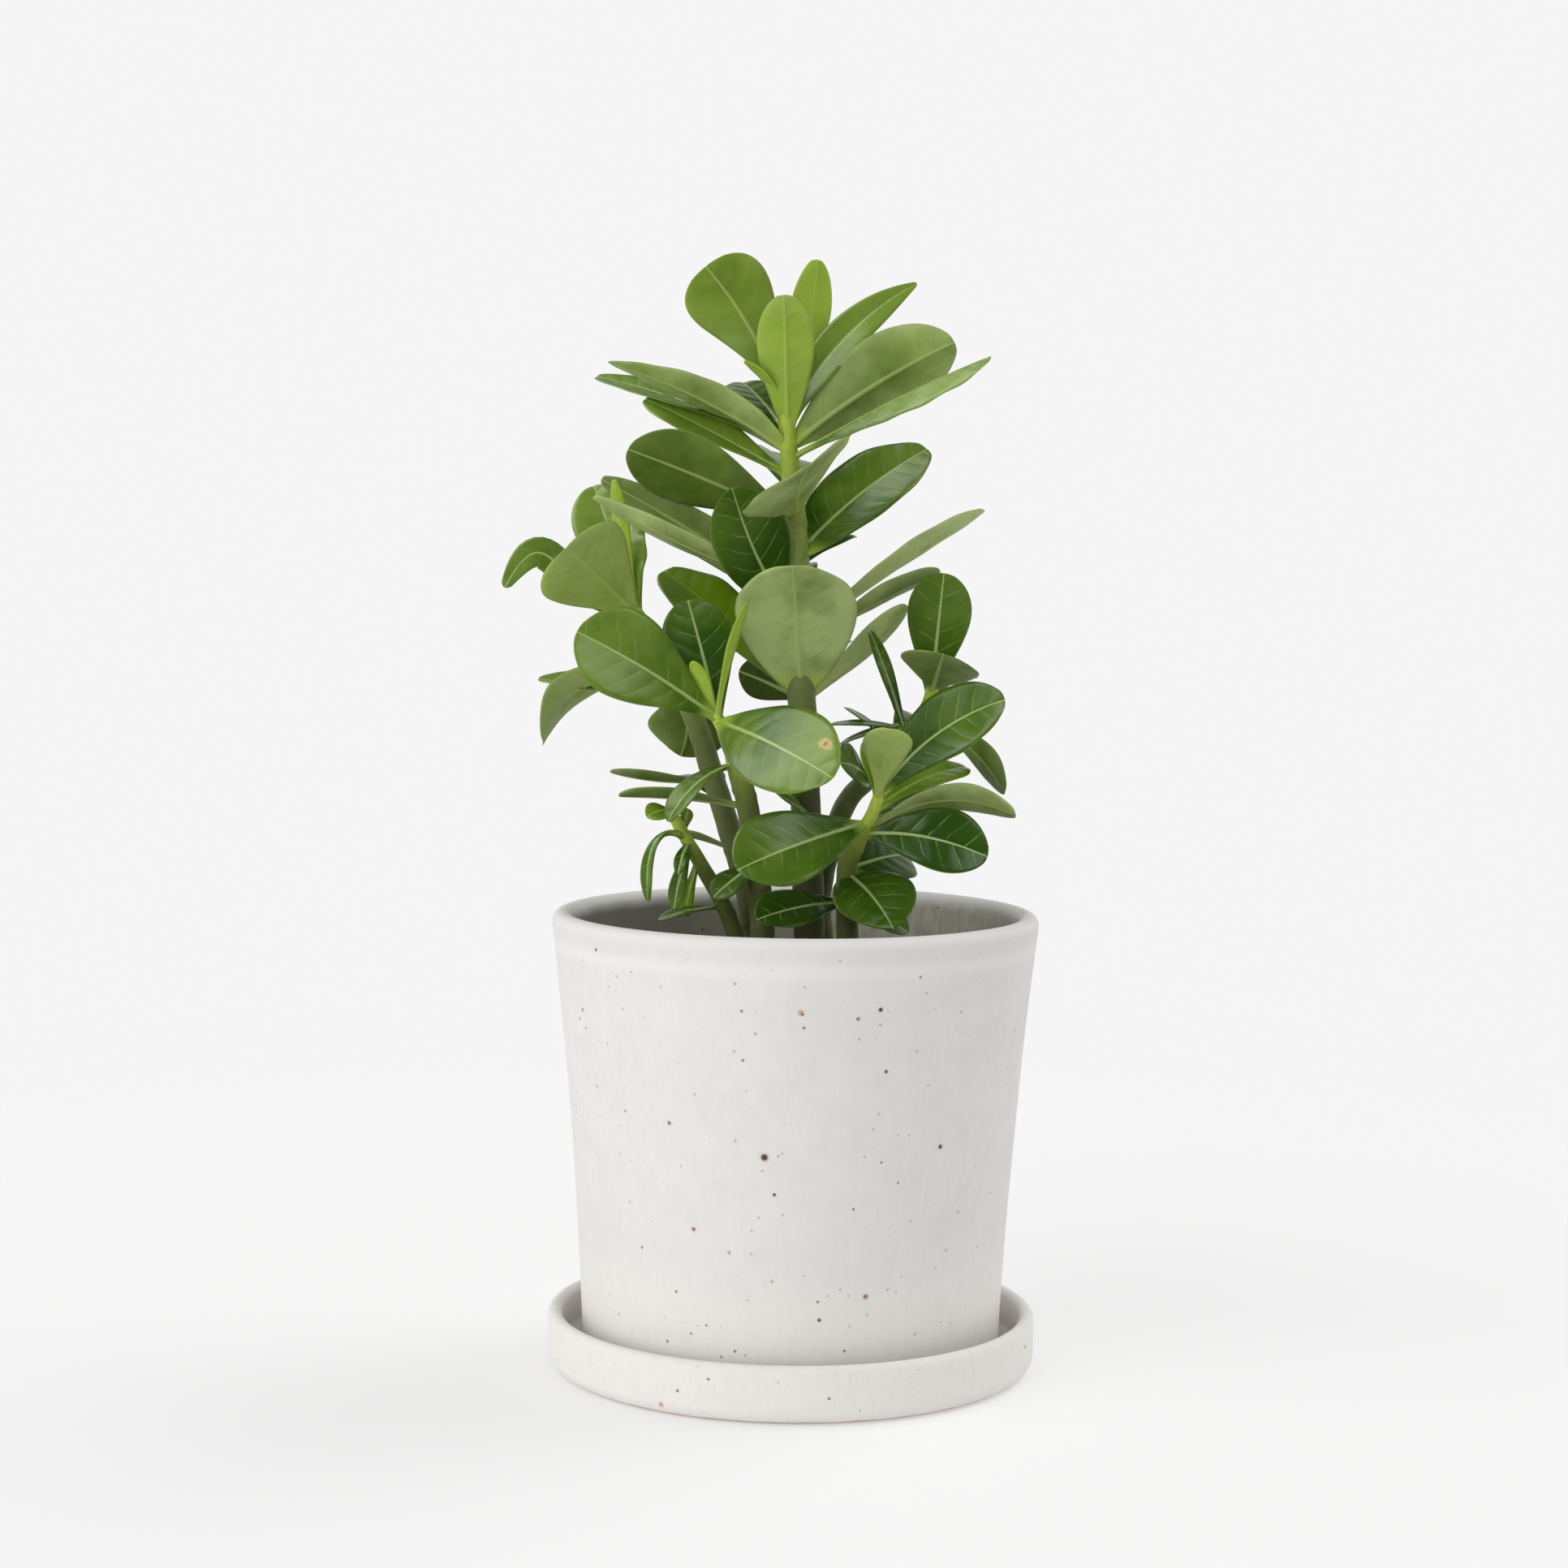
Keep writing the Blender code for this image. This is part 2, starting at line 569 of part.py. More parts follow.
def make_caudex(finish, home):
    """The swollen woody base, with the stub that each stem stands on."""
    mesh = bpy.data.meshes.new("caudex_base")
    bm = bmesh.new()
    bmesh.ops.create_uvsphere(bm, u_segments=20, v_segments=10, radius=1.0)
    bottom = POCKET_FLOOR + GAP
    for vert in bm.verts:
        share = (vert.co.z + 1) / 2
        height = bottom + (CAUDEX_TOP - bottom) * share
        angle = math.atan2(vert.co.y, vert.co.x)
        at_pole = math.hypot(vert.co.x, vert.co.y) < 0.001
        radius = 0.0 if at_pole else caudex_radius(height, angle)
        x = CAUDEX_CENTRE[0] * share + radius * math.cos(angle)
        y = CAUDEX_CENTRE[1] * share + radius * math.sin(angle)
        vert.co = at((x, y, height))
    bm.to_mesh(mesh)
    bm.free()
    base = bpy.data.objects.new("caudex_base", mesh)
    stubs = []
    for stem, points in STEMS.items():
        seat = Vector(points[0][:3])
        direction = (Vector(points[1][:3]) - seat).normalized()
        inward = Vector((CAUDEX_CENTRE[0], CAUDEX_CENTRE[1], seat.z - STUB_LENGTH)) - seat
        top = seat - direction * GAP
        foot = top + (inward * 0.35 - direction * STUB_LENGTH) * 0.7
        middle = top - direction * 3.0
        radius = points[0][3]
        route = [
            (*foot, radius * BARK_SWELL * 1.5),
            (*middle, radius * BARK_SWELL),
            (*top, radius),
        ]
        stubs.append(tube(stem + "_stub", route))
    return fused("caudex", base, stubs, finish, home)


def main():
    clear_scene()
    home = new_collection(OBJECT_NAME)
    stoneware = material("stoneware", (0.80, 0.79, 0.76), 0.75, specular=0.3)
    soil = material("soil", (0.06, 0.045, 0.03), 0.95, specular=0.2)
    bark = material("bark", (0.24, 0.22, 0.17), 0.8, specular=0.3)
    foliage = material("foliage", (0.09, 0.20, 0.035), 0.4)
    make_saucer(stoneware, home)
    make_pot(stoneware, home)
    make_soil(soil, home)
    make_caudex(bark, home)
    for stem in STEMS:
        make_leafy_stem(stem, foliage, home)


main()
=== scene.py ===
"""Looks of the potted desert rose: fine leaves and stems, bark, soil, speckled stoneware, light and camera.

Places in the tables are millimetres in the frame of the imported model: +Z up, -Y to the front,
and the origin under the middle of the saucer.
"""

import math
import random

import bmesh
import bpy
import numpy as np
from mathutils import Matrix, Vector, noise


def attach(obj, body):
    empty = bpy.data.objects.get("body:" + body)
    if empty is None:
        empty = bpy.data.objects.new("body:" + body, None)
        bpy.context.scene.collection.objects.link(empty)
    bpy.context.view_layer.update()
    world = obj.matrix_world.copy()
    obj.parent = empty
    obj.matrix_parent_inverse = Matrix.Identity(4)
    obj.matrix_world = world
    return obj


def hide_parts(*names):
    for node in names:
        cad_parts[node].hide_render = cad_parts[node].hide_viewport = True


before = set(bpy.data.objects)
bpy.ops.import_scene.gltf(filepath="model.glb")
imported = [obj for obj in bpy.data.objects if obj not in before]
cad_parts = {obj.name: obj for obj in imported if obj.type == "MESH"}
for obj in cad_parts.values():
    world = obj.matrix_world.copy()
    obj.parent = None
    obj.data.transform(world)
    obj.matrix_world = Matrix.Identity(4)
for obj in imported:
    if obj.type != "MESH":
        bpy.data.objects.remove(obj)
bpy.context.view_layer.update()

MM = 0.001
BODY = "root"

# Camera, fitted to the photograph
PHOTO_WIDTH = 1932
FOCAL_PIXELS = 3747
SENSOR_WIDTH = 36.0
CAMERA_PLACE = (-4.1, -938.0, 248.3)
CAMERA_PITCH = 4.11
CAMERA_ROLL = 0.67

# Saucer
SAUCER_RADIUS = 75.8
SAUCER_HEIGHT = 17.6
SAUCER_WALL = 4.4
SAUCER_FLOOR = 5.0
SAUCER_CORNER = 5.0
SAUCER_INNER_CORNER = 2.5

# Pot: outer radius = foot + flare * u + curve * u * u, with u from 0 at the foot to 1 at the rim
GAP = 0.3
POT_HEIGHT = 136.4
POT_FOOT_RADIUS = 64.8
POT_FLARE = 5.2
POT_CURVE = 5.6
POT_WALL = 6.3
POT_FLOOR = 9.0
POT_CORNER = 4.0
POT_INNER_CORNER = 9.0
DRAIN_RADIUS = 7.0
POT_BASE = SAUCER_FLOOR + GAP
RIM = POT_BASE + POT_HEIGHT
TURNED_STEPS = 240

# Soil and swollen base
SOIL_TOP = RIM - 21.0
SOIL_MOUND = 2.0
CAUDEX_CENTRE = (1.0, 1.0)
CAUDEX_RADIUS = 23.6
CAUDEX_TOP = 128.5
CAUDEX_BOTTOM = 92.3
DOME_STARTS = 0.78
STUB_LENGTH = 16.0
BARK_SWELL = 1.12
# The bottom of the hollow in the soil where the swollen base sits
SOIL_WELL = 93.0

# Leaf blades
BLADE_THICKNESS = 0.6
PETIOLE_WIDTH = 2.6
PETIOLE_THICKNESS = 1.9
TIP_SHARE = 0.98
TIP_ROUNDING = 0.03
RIB_HEIGHT = 0.55
RIB_WIDTH = 0.75
VEIN_SPACING = 5.6
VEIN_SLANT = 0.45
VEIN_CURVE = 0.02
QUILT_HEIGHT = 0.11
LARGE_LEAF = 16.0
LARGE_GRID = (46, 24)
SMALL_GRID = (30, 16)

# Stems
STEM_SIDES = 22
STEM_STEP = 0.8
STEM_BUMPS = 0.28
SCAR_SPACING = 4.6
SCAR_SWELL = 0.11
GOLDEN_ANGLE = math.radians(137.5)

# What the upper face of a leaf looks towards
BACK = (0.0, 1.0, 0.3)
UP = (0.0, 0.0, 1.0)

# Each stem runs from its seat on the swollen base to its tip: (x, y, z, radius)
STEMS = {
    "leader": [
        (4.5, 1.5, 129.5, 5.0), (4.0, 2.0, 140.0, 4.9), (2.8, 3.0, 172.0, 4.7),
        (1.1, 2.0, 206.0, 4.4), (-1.2, 0.0, 256.0, 3.7), (-3.8, -1.0, 284.0, 2.8),
        (-5.2, -2.0, 299.0, 2.0),
    ],
    "front_left": [
        (-10.4, -9.5, 129.5, 3.9), (-10.8, -11.0, 145.0, 3.7), (-14.8, -18.0, 173.7, 3.4),
        (-18.4, -22.0, 187.5, 3.1), (-21.3, -24.0, 194.9, 1.7), (-25.0, -26.0, 203.0, 1.5),
    ],
    "back_left": [
        (-12.5, 6.5, 129.5, 3.9), (-15.5, 8.0, 148.0, 3.7), (-22.0, 10.0, 168.8, 3.6),
        (-27.3, 12.0, 185.1, 3.5), (-31.5, 12.0, 197.5, 3.3), (-36.5, 10.0, 208.0, 2.6),
        (-43.4, 6.0, 221.9, 2.2), (-50.5, 0.0, 234.0, 1.9),
    ],
    "low_left": [
        (-17.2, -3.5, 129.5, 2.7), (-20.6, -5.0, 140.0, 2.6), (-26.4, -8.5, 151.5, 2.4),
        (-31.4, -12.0, 160.5, 2.1), (-36.4, -14.0, 169.4, 1.8), (-39.0, -15.0, 174.0, 1.4),
    ],
    "front_right": [
        (16.4, -7.0, 129.5, 3.6), (15.6, -9.5, 142.0, 3.3), (15.4, -13.0, 156.0, 3.1),
        (18.6, -17.0, 165.0, 2.7), (22.1, -20.0, 172.3, 1.9), (25.2, -22.0, 181.0, 1.7),
    ],
    "back_right": [
        (8.5, 11.5, 129.5, 3.6), (8.0, 12.5, 148.0, 3.5), (14.5, 14.0, 172.0, 3.3),
        (21.9, 14.0, 181.5, 3.1), (31.1, 14.0, 192.0, 2.6), (39.7, 10.0, 203.8, 2.1),
        (42.6, 6.0, 216.0, 1.8),
    ],
}


def leaf(height, tip, width, face=UP, arch=2, fold=12, bend=0, twist=0, wave=0, widest=0.7,
         full=0.58, peak=0.5, young=0.0, pale=0.3):
    """One leaf, in millimetres and degrees.

    height is where it leaves its stem, and tip is where it ends. face is what its upper side
    looks towards. arch lifts the middle of the midrib off the straight line, most at peak. bend
    swings it sideways, fold closes the halves like a book, twist turns the far end about the
    midrib, and wave ripples the margins. widest is the share of the length where the blade is
    broadest, and a smaller full gives a blunter leaf. young runs from 0, dark and full grown, to
    1, lime and new. pale runs from deep green at 0 to a whitish face at 1 and above, partly a
    real paler bloom and partly a painted sheen; below 0 it paints shade, darkening the face
    towards a near-black green.
    """
    return dict(height=height, tip=tip, width=width, face=face, arch=arch, fold=fold, bend=bend,
                twist=twist, wave=wave, widest=widest, full=full, peak=peak, young=young, pale=pale)


# The leaves of each stem. A few at the back vary a little from the solids that they replace.
LEAVES = {
    "leader": [
        leaf(297, (-29.5, -12, 338), 27, BACK, arch=3, bend=-2, fold=8, widest=0.8, full=0.45,
             young=0.3, pale=0.12),
        leaf(286, (-5.8, -20, 329), 17.5, BACK, fold=10, widest=0.66, young=0.76, pale=0.5),
        leaf(302, (4.2, 9, 342.5), 13.5, (-0.3, 1, 0.2), bend=-3, widest=0.68, young=1.05),
        leaf(290, (35, 8, 335.5), 13, (-0.4, -1, 0.4), bend=-5, fold=20, twist=-40, widest=0.5,
             full=0.8, young=0.15, pale=0.8),
        leaf(284, (46, -8, 316.5), 27, (-0.3, 0.9, 0.1), arch=3, bend=1.5, fold=28, widest=0.64,
             young=0.1, pale=0.38),
        leaf(281, (56, -26, 311), 20, (-0.45, -0.3, 1), arch=1.5, fold=-25, young=0.1, pale=0.9),
        leaf(264, (3, -52, 278), 40, (-0.62, 0.2, 0.8), fold=8, widest=0.6, pale=0.75),
        leaf(283, (-58.7, -14, 309), 20, (0.3, 0.5, 1), arch=4, bend=2, fold=15, widest=0.44,
             full=0.85, young=0.2, pale=0.7),
        leaf(285, (-64.4, 22, 306.5), 13, (0.2, -0.6, 1), fold=15, young=0.1, pale=0.4),
        leaf(275, (-48.7, 10, 299), 17.5, (0.1, -0.7, 1), arch=1, fold=18, young=0.15, pale=1.5),
        leaf(286, (-19, 34, 306), 20, (0.3, -1, 0.6), young=0.2, pale=-0.2),
        leaf(296, (-17.5, -10, 310), 7, (0.7, 0.4, 0.6), arch=1, young=1.0),
        leaf(262, (-52.6, -10, 283), 25, (0.2, 1, 0.5), fold=8, young=0.05, pale=0.02),
        leaf(251, (39.5, 18, 285), 25, (-0.3, -1, 0.7), bend=-1.5, widest=0.55, full=0.5, pale=0.46),
        leaf(247.5, (14, 40, 258), 16, (-0.3, -1, 0.7), pale=0.1),
        leaf(236.5, (-21, -14, 271.5), 27, (0.2, -1, 0.4), arch=1, bend=-5, widest=0.66, peak=0.35,
             pale=0.08),
        leaf(240.5, (-62.7, -16, 268.3), 13, (0.4, 0.6, 1), arch=-2, fold=16, widest=0.6, pale=0.8),
        leaf(237, (-61.7, 8, 274.4), 15, (0.2, 1, 0.55), arch=2.5, fold=8, widest=0.5, pale=0.35),
        leaf(208.5, (-2.4, -38, 248.3), 37, (0, 1, 0.5), arch=4, fold=4, widest=0.57, full=0.52, pale=0.9),
        leaf(227, (56, -8, 265.7), 21, (-0.3, 0.25, 1), arch=0.5, fold=15, pale=1.0),
        leaf(222, (43.6, 6, 247), 17, (-0.2, 0.4, 1), arch=1.5, fold=15, pale=0.5),
        leaf(206, (33.2, 4, 236.5), 11.5, (-0.5, 0.6, 0.4), arch=1, bend=-3, fold=18, pale=1.2),
        leaf(204, (8, 30, 213), 12, (-0.3, -0.5, 1)),
        leaf(207, (-18.5, 8, 215.5), 15, (-0.3, 0.9, 0.5), arch=1, young=0.1, pale=-0.5),
        leaf(206, (-43, 24, 246), 24, (0.3, -0.8, 1), arch=3, young=0.72, pale=0.1),
        leaf(230, (-26, 36, 256), 22, (0.3, -0.4, 1), young=0.2),
        leaf(170, (-8, -20, 181), 16, (0.2, -0.8, 0.8)),
        leaf(288, (4, 41, 309), 20, (-0.1, -0.5, 1), arch=5, fold=18, twist=18, young=0.15, pale=0.25),
        leaf(268, (-10, 43, 285), 22, (0.1, -0.5, 1), arch=1, bend=3, twist=-24, pale=0.5),
        leaf(250, (15, 45, 259), 22, (-0.1, -0.5, 1), arch=5, fold=6, bend=-2, twist=20, pale=0.15),
        leaf(236, (-9, 48, 243), 22, (0.1, -0.5, 1), arch=7, fold=18, widest=0.62, pale=0.35),
        leaf(214, (11, 40, 226), 18, (-0.1, -0.5, 1), arch=1.5, fold=22, twist=-20, pale=0.6),
    ],
    "front_left": [
        leaf(200, (-34, -14, 237.5), 21.5, (0.1, -1, 0.3), pale=0.08),
        leaf(202, (-66, -38, 228), 30, (0.2, -1, 0.5), arch=3, widest=0.72, young=0.1, pale=0.48),
        leaf(201, (10, -60, 187), 30, (0.15, -1, 0.35), arch=3, fold=8, widest=0.64, full=0.55, pale=0.48),
        leaf(202, (-15.5, -34, 237.5), 6, (-0.8, 0.5, 0), arch=1, young=0.9),
        leaf(202, (-32, -30, 219.5), 5, (0.3, 1, 0), arch=1, young=1.0, pale=0.6),
        leaf(175, (-54.3, -18, 177.9), 14, (0, 0.3, 1), arch=1, fold=20),
        leaf(188, (-38.5, -33, 171.5), 10, (-0.2, -0.5, 1), arch=4, fold=18),
        leaf(157, (-25.1, -20, 147.5), 10, (0, -0.8, 1), arch=1, pale=0.05),
    ],
    "back_left": [
        leaf(233, (-69.5, -32, 253), 31, (-0.55, 0.65, 0.53), fold=6, widest=0.74, full=0.42,
             young=0.38, pale=0.7),
        leaf(231.5, (-65.2, 25, 272.6), 22, (0, -1, 0.4), arch=0.5, pale=0.9),
        leaf(232.5, (-52.3, 8, 261), 11, (-0.3, -1, 0.2), arch=3, wave=1.5, young=0.2, pale=0.95),
        leaf(231.5, (-90.6, -2, 240.5), 10.5, (0.1, -1, 0.35), arch=0, bend=13.5, fold=10,
             widest=0.76, peak=0.8, pale=0.4),
        leaf(234, (-57.3, -2, 274), 5, (0.2, 1, 0), arch=0, young=1.0),
        leaf(218, (-77.5, -14, 194), 17, (-0.6, 1, 0.8), arch=10, fold=20, peak=0.58, young=0.15, pale=1.1),
        leaf(204, (-81, 8, 212), 16, (0, -0.3, 1), arch=1, fold=16, pale=0.9),
        leaf(212, (-37, 26, 187.5), 26, (0.1, 1, 0.15), arch=1, bend=3, pale=0.15),
        leaf(181, (-58.5, 8, 183.5), 12, (0, 0.3, 1), arch=-1.5, fold=20),
        leaf(159, (-35, 22, 162.5), 12, (0, 0.5, 1), arch=0.5),
        leaf(174, (-34, 34, 181), 16, (0, -0.3, 1), pale=0.1),
        leaf(212, (-52, 41, 221), 20, (0, -0.4, 1), arch=5, twist=18, pale=0.45),
        leaf(218, (-29, 38, 230), 20, (-0.2, -0.5, 1), arch=1, bend=3, young=0.15, pale=0.2),
    ],
    "low_left": [
        leaf(172, (-45.4, -22, 171.8), 8, (0.2, -0.7, 1), young=0.5, pale=0.4),
        leaf(167, (-33.4, -8, 173.5), 4, (0.2, -1, 0.2), arch=0.5, young=0.4),
        leaf(165, (-44.8, -20, 146.3), 6, (-0.6, -0.6, 0.5), arch=9, fold=20, peak=0.33, young=0.1,
             pale=0.2),
        leaf(163, (-35.7, -24, 155), 4.5, (-0.2, -1, 0.1), pale=0.1),
        leaf(162.5, (-37, -20, 143.7), 5.5, (-0.3, -1, 0), pale=0.35),
        leaf(158, (-34, -3, 139.7), 4.5, (-0.6, -1, 0), arch=1, young=0.5),
        leaf(143, (-42, -12, 139.5), 7.5, (0, -0.2, 1), arch=1, pale=0.2),
    ],
    "front_right": [
        leaf(178, (27.2, -44, 200.7), 15, (0, 1, 0.4), arch=1, widest=0.75, young=0.38, pale=1.1),
        leaf(178, (61.5, -32, 209), 23.5, (-0.2, -1, 0.8), bend=-4, widest=0.66, full=0.55, pale=0.12),
        leaf(178, (20, -20, 195.5), 6, (0.5, -1, 0), arch=1, young=0.9),
        leaf(170.5, (-17.6, -46, 158.5), 27, (0.1, -1, 0.8), full=0.55, pale=0.18),
        leaf(166.5, (57, -32, 162), 22, (0.1, -1, 0.6), arch=6, pale=-0.2),
        leaf(174, (52.5, 8, 186.3), 14, (0, -0.6, 1), arch=3, young=0.7, pale=0.5),
        leaf(166.5, (66, -22, 174), 16, (-0.1, 0.8, 1), arch=9, widest=0.74, pale=0.75),
        leaf(145, (-11.7, -34, 142.5), 16, (0, -0.9, 0.9), pale=-0.25),
        leaf(154, (29, -36, 140.5), 26, (0.1, -0.8, 0.8), arch=3, widest=0.62, pale=0.05),
        leaf(143.5, (34, -18, 137), 13, (0, -0.4, 1), pale=0.1),
        leaf(155.5, (34.5, 8, 158.5), 20, (0, -0.9, 0.5), pale=0.0),
        leaf(172, (42.6, 0, 179.7), 9, (0, -0.4, 1), arch=1, pale=0.4),
    ],
    "back_right": [
        leaf(209.5, (44.3, -2, 246.5), 20, (-0.1, -1, 0.1), arch=1, full=0.5, pale=0.25),
        leaf(210, (43, -30, 222.5), 24.5, (0.25, 0.5, 0.9), arch=1, fold=-4, pale=0.15),
        leaf(202, (64, -4, 179.5), 14, (0.3, 0.8, 0.8), arch=3.5, pale=0.25),
        leaf(181, (13, -6, 188), 16, (0.2, -1, 0.6), pale=0.05),
        leaf(199.5, (13.2, 22, 192), 8, (0, -0.3, 1), arch=1, pale=0.2),
        leaf(197.2, (9.6, 30, 197.8), 8, (0, -0.2, 1), arch=1, pale=0.2),
        leaf(191, (15.4, 36, 203), 7, (0.6, -0.3, 1), arch=1, pale=0.2),
        leaf(195, (21.5, -4, 228.5), 6, (0.7, -1, 0.2), arch=1, fold=25, pale=0.05),
        leaf(206, (50, 40, 214), 20, (0, -0.5, 1), arch=4.5, twist=-18, pale=0.45),
        leaf(190, (44, 46, 196), 18, (0, -0.5, 1), arch=6, fold=20, pale=0.2),
    ],
}

# Iron specks in the glaze
SPECK_TINTS = {
    "dark": (0.045, 0.022, 0.014),
    "brown": (0.11, 0.07, 0.045),
    "rust": (0.19, 0.07, 0.05),
    "orange": (0.46, 0.24, 0.10),
    "faint": (0.24, 0.20, 0.165),
}
SPECK_HALO = (0.55, 0.42, 0.30)
# The ones that show on the front, by tint: (x, height, radius), in millimetres
POT_SPECKS = {
    "dark": [
        (-8.5, 77.5, 1.3), (43, 78.5, 0.85), (24.5, 121, 0.8), (-59, 134.5, 0.6), (26.5, 102.5, 0.65),
        (-5.5, 66.5, 0.6), (8, 29, 0.7),
    ],
    "rust": [
        (21.5, 35.5, 0.9), (-36.5, 85.5, 0.75), (-29, 54.5, 0.75), (-63.5, 115, 0.65),
    ],
    "orange": [
        (1.5, 120.5, 0.95), (-18.5, 48.5, 0.6),
    ],
    "brown": [
        (2, 120, 0.6), (18, 118.5, 0.75), (-15.5, 120.5, 0.6), (17.5, 62, 0.55), (-16.5, 19, 0.6),
        (-44.5, 46.5, 0.6), (-25, 26, 0.5), (-29.5, 23, 0.5), (-36.5, 19.5, 0.6), (-20.5, 17, 0.5),
        (30.5, 69, 0.5), (-51.5, 24, 0.5), (-64.5, 112, 0.6), (-62.5, 109.5, 0.55), (-15, 106, 0.6),
        (-59, 92.5, 0.55), (-66.5, 83.5, 0.5), (-50, 87, 0.55), (66.5, 109, 0.55), (36, 130, 0.55),
        (-34, 35, 0.6), (7.5, 34.5, 0.6), (2.5, 116, 0.6), (25.5, 75.5, 0.5), (15.5, 19.5, 0.6),
    ],
    "faint": [
        (-63, 130.5, 0.5), (-71, 125, 0.5), (-72, 118.5, 0.5), (-52.5, 127.5, 0.6), (-55, 124, 0.55),
        (-48, 129.5, 0.5), (-50.5, 118, 0.5), (48.5, 118.5, 0.6), (23, 85.5, 0.5), (49, 57.5, 0.6),
        (45.5, 46.5, 0.6), (55.5, 45, 0.5), (59.5, 60.5, 0.5), (28, 37, 0.55), (-13.5, 18, 0.5),
        (36.5, 22.5, 0.6), (-55.5, 106.5, 0.5), (-17.5, 128.5, 0.6), (-39, 126, 0.5),
        (-11.5, 114, 0.65), (-17.5, 108.5, 0.55), (-66, 88, 0.5), (-29, 95, 0.55), (2.5, 128, 0.5),
        (24.5, 116.5, 0.55), (18.5, 112.5, 0.55), (38, 125, 0.5), (35.5, 108, 0.55), (39, 97.5, 0.55),
        (24.5, 90, 0.5), (12.5, 135.5, 0.55), (-17, 82, 0.55), (-9, 73.5, 0.55), (-4.5, 78, 0.5),
        (-51.5, 73.5, 0.5), (-48.5, 59.5, 0.55), (-12, 48.5, 0.5), (-10, 59.5, 0.5), (-3, 60.5, 0.5),
        (-6, 40.5, 0.7), (-57, 32, 0.5), (-54.5, 29, 0.5), (-33, 73, 0.45), (-13, 34.5, 0.45),
        (33.5, 83, 0.45), (20.5, 77.5, 0.45), (34.5, 57, 0.5), (-12, 55.5, 0.45), (14, 38, 0.5),
        (42.5, 41.5, 0.45), (22, 30, 0.5), (44.5, 24.5, 0.5), (32, 40.5, 0.45), (16.5, 36, 0.45),
    ],
}
SAUCER_SPECKS = {
    "dark": [
        (71.5, 11.5, 0.6),
    ],
    "orange": [
        (-38, 3.5, 0.9),
    ],
    "brown": [
        (-33, 8.5, 0.65), (-24, 13, 0.6), (11, 8.5, 0.6),
    ],
    "faint": [
        (-72, 5.5, 0.6),
    ],
}


# Curves and surfaces

def catmull_rom(before, start, end, after, t):
    """A point between start and end on the smooth curve through all four."""
    before, start, end, after = (np.array(point, float) for point in (before, start, end, after))
    linear = end - before
    square = 2 * before - 5 * start + 4 * end - after
    cube = 3 * start - 3 * end + after - before
    return start + 0.5 * t * (linear + t * (square + t * cube))


def smooth_route(points, per_span=10):
    """The smooth curve through a stem's points, as rows of (x, y, z, radius)."""
    padded = [points[0]] + points + [points[-1]]
    route = []
    for before, start, end, after in zip(padded, padded[1:], padded[2:], padded[3:]):
        for step in range(per_span):
            route.append(catmull_rom(before, start, end, after, step / per_span))
    route.append(np.array(points[-1], float))
    return np.array(route)


def on_stem(route, height):
    """The place on a stem's route at a height."""
    return np.array([np.interp(height, route[:, 2], route[:, axis]) for axis in range(3)])


def unit(vectors):
    """The same directions at length 1."""
    return vectors / np.linalg.norm(vectors, axis=-1, keepdims=True)


def half_width(shape, q):
    """Half the blade's width at q, from 0 at the stem to 1 at the tip."""
    power = math.log(0.5) / math.log(TIP_SHARE * shape["widest"])
    fullness = np.sin(np.pi * (TIP_SHARE * q) ** power) ** shape["full"]
    return np.hypot(shape["width"] / 2 * fullness, PETIOLE_WIDTH / 2 * (1 - q))


def blade_surface(shape, root, q, s, ripples):
    """Middle surface of a blade in millimetres, over grids of q, stem to tip, and s, -1 to 1."""
    chord = np.array(shape["tip"], float) - root
    length = np.linalg.norm(chord)
    along = chord / length
    face = np.array(shape["face"], float)
    up = unit(face - along * face.dot(along))
    side = np.cross(along, up)

    t = q - TIP_ROUNDING * shape["width"] / length * q**3 * s * s
    power = math.log(0.5) / math.log(shape["peak"])
    rise = t**power
    hump = 4 * rise * (1 - rise)
    slope = 4 * power * np.maximum(t, 0.02) ** (power - 1) * (1 - 2 * rise) / length
    lift = shape["arch"] * hump
    swing = shape["bend"] * hump
    run = along + up * (shape["arch"] * slope)[..., None] + side * (shape["bend"] * slope)[..., None]
    run = unit(run)

    turn = math.radians(shape["twist"]) * q * q
    across = side * np.cos(turn)[..., None] + up * np.sin(turn)[..., None]
    across = unit(across - run * np.sum(across * run, axis=-1, keepdims=True))
    normal = np.cross(across, run)

    reach = half_width(shape, q) * s
    fold = math.radians(shape["fold"]) * (1 - 0.4 * q)
    ripple = shape["wave"] * s * np.abs(s) * np.sin(3 * math.tau * q) * q
    wavelength, phase, size = ripples
    ripple = ripple + size * np.abs(s) ** 3 * np.sin(q * length / wavelength * math.tau + phase + s) * q
    middle = root + chord * t[..., None] + up * lift[..., None] + side * swing[..., None]
    rise_out = np.abs(reach) * np.sin(fold) + ripple
    return middle + across * (reach * np.cos(fold))[..., None] + normal * rise_out[..., None], reach, length


def grid_faces(rows, columns):
    """Quads of a grid of points, with rows by columns faces."""
    first = np.arange(rows)[:, None] * (columns + 1) + np.arange(columns)[None, :]
    quads = np.stack([first, first + 1, first + columns + 2, first + columns + 1], axis=-1)
    return quads.reshape(-1, 4)


def rim_of_grid(rows, columns):
    """The points round the edge of a grid, in order."""
    wide = columns + 1
    near = list(range(columns))
    right = [row * wide + columns for row in range(rows)]
    far = [rows * wide + column for column in range(columns, 0, -1)]
    left = [row * wide for row in range(rows, 0, -1)]
    return np.array(near + right + far + left)


def side_vein_phase(along, across):
    """Counts the side veins: whole numbers are the veins, which sweep towards the tip."""
    stagger = np.where(across > 0, 0.5, 0.0)
    away = np.abs(across)
    return (along - VEIN_SLANT * away - VEIN_CURVE * away**2) / VEIN_SPACING + stagger


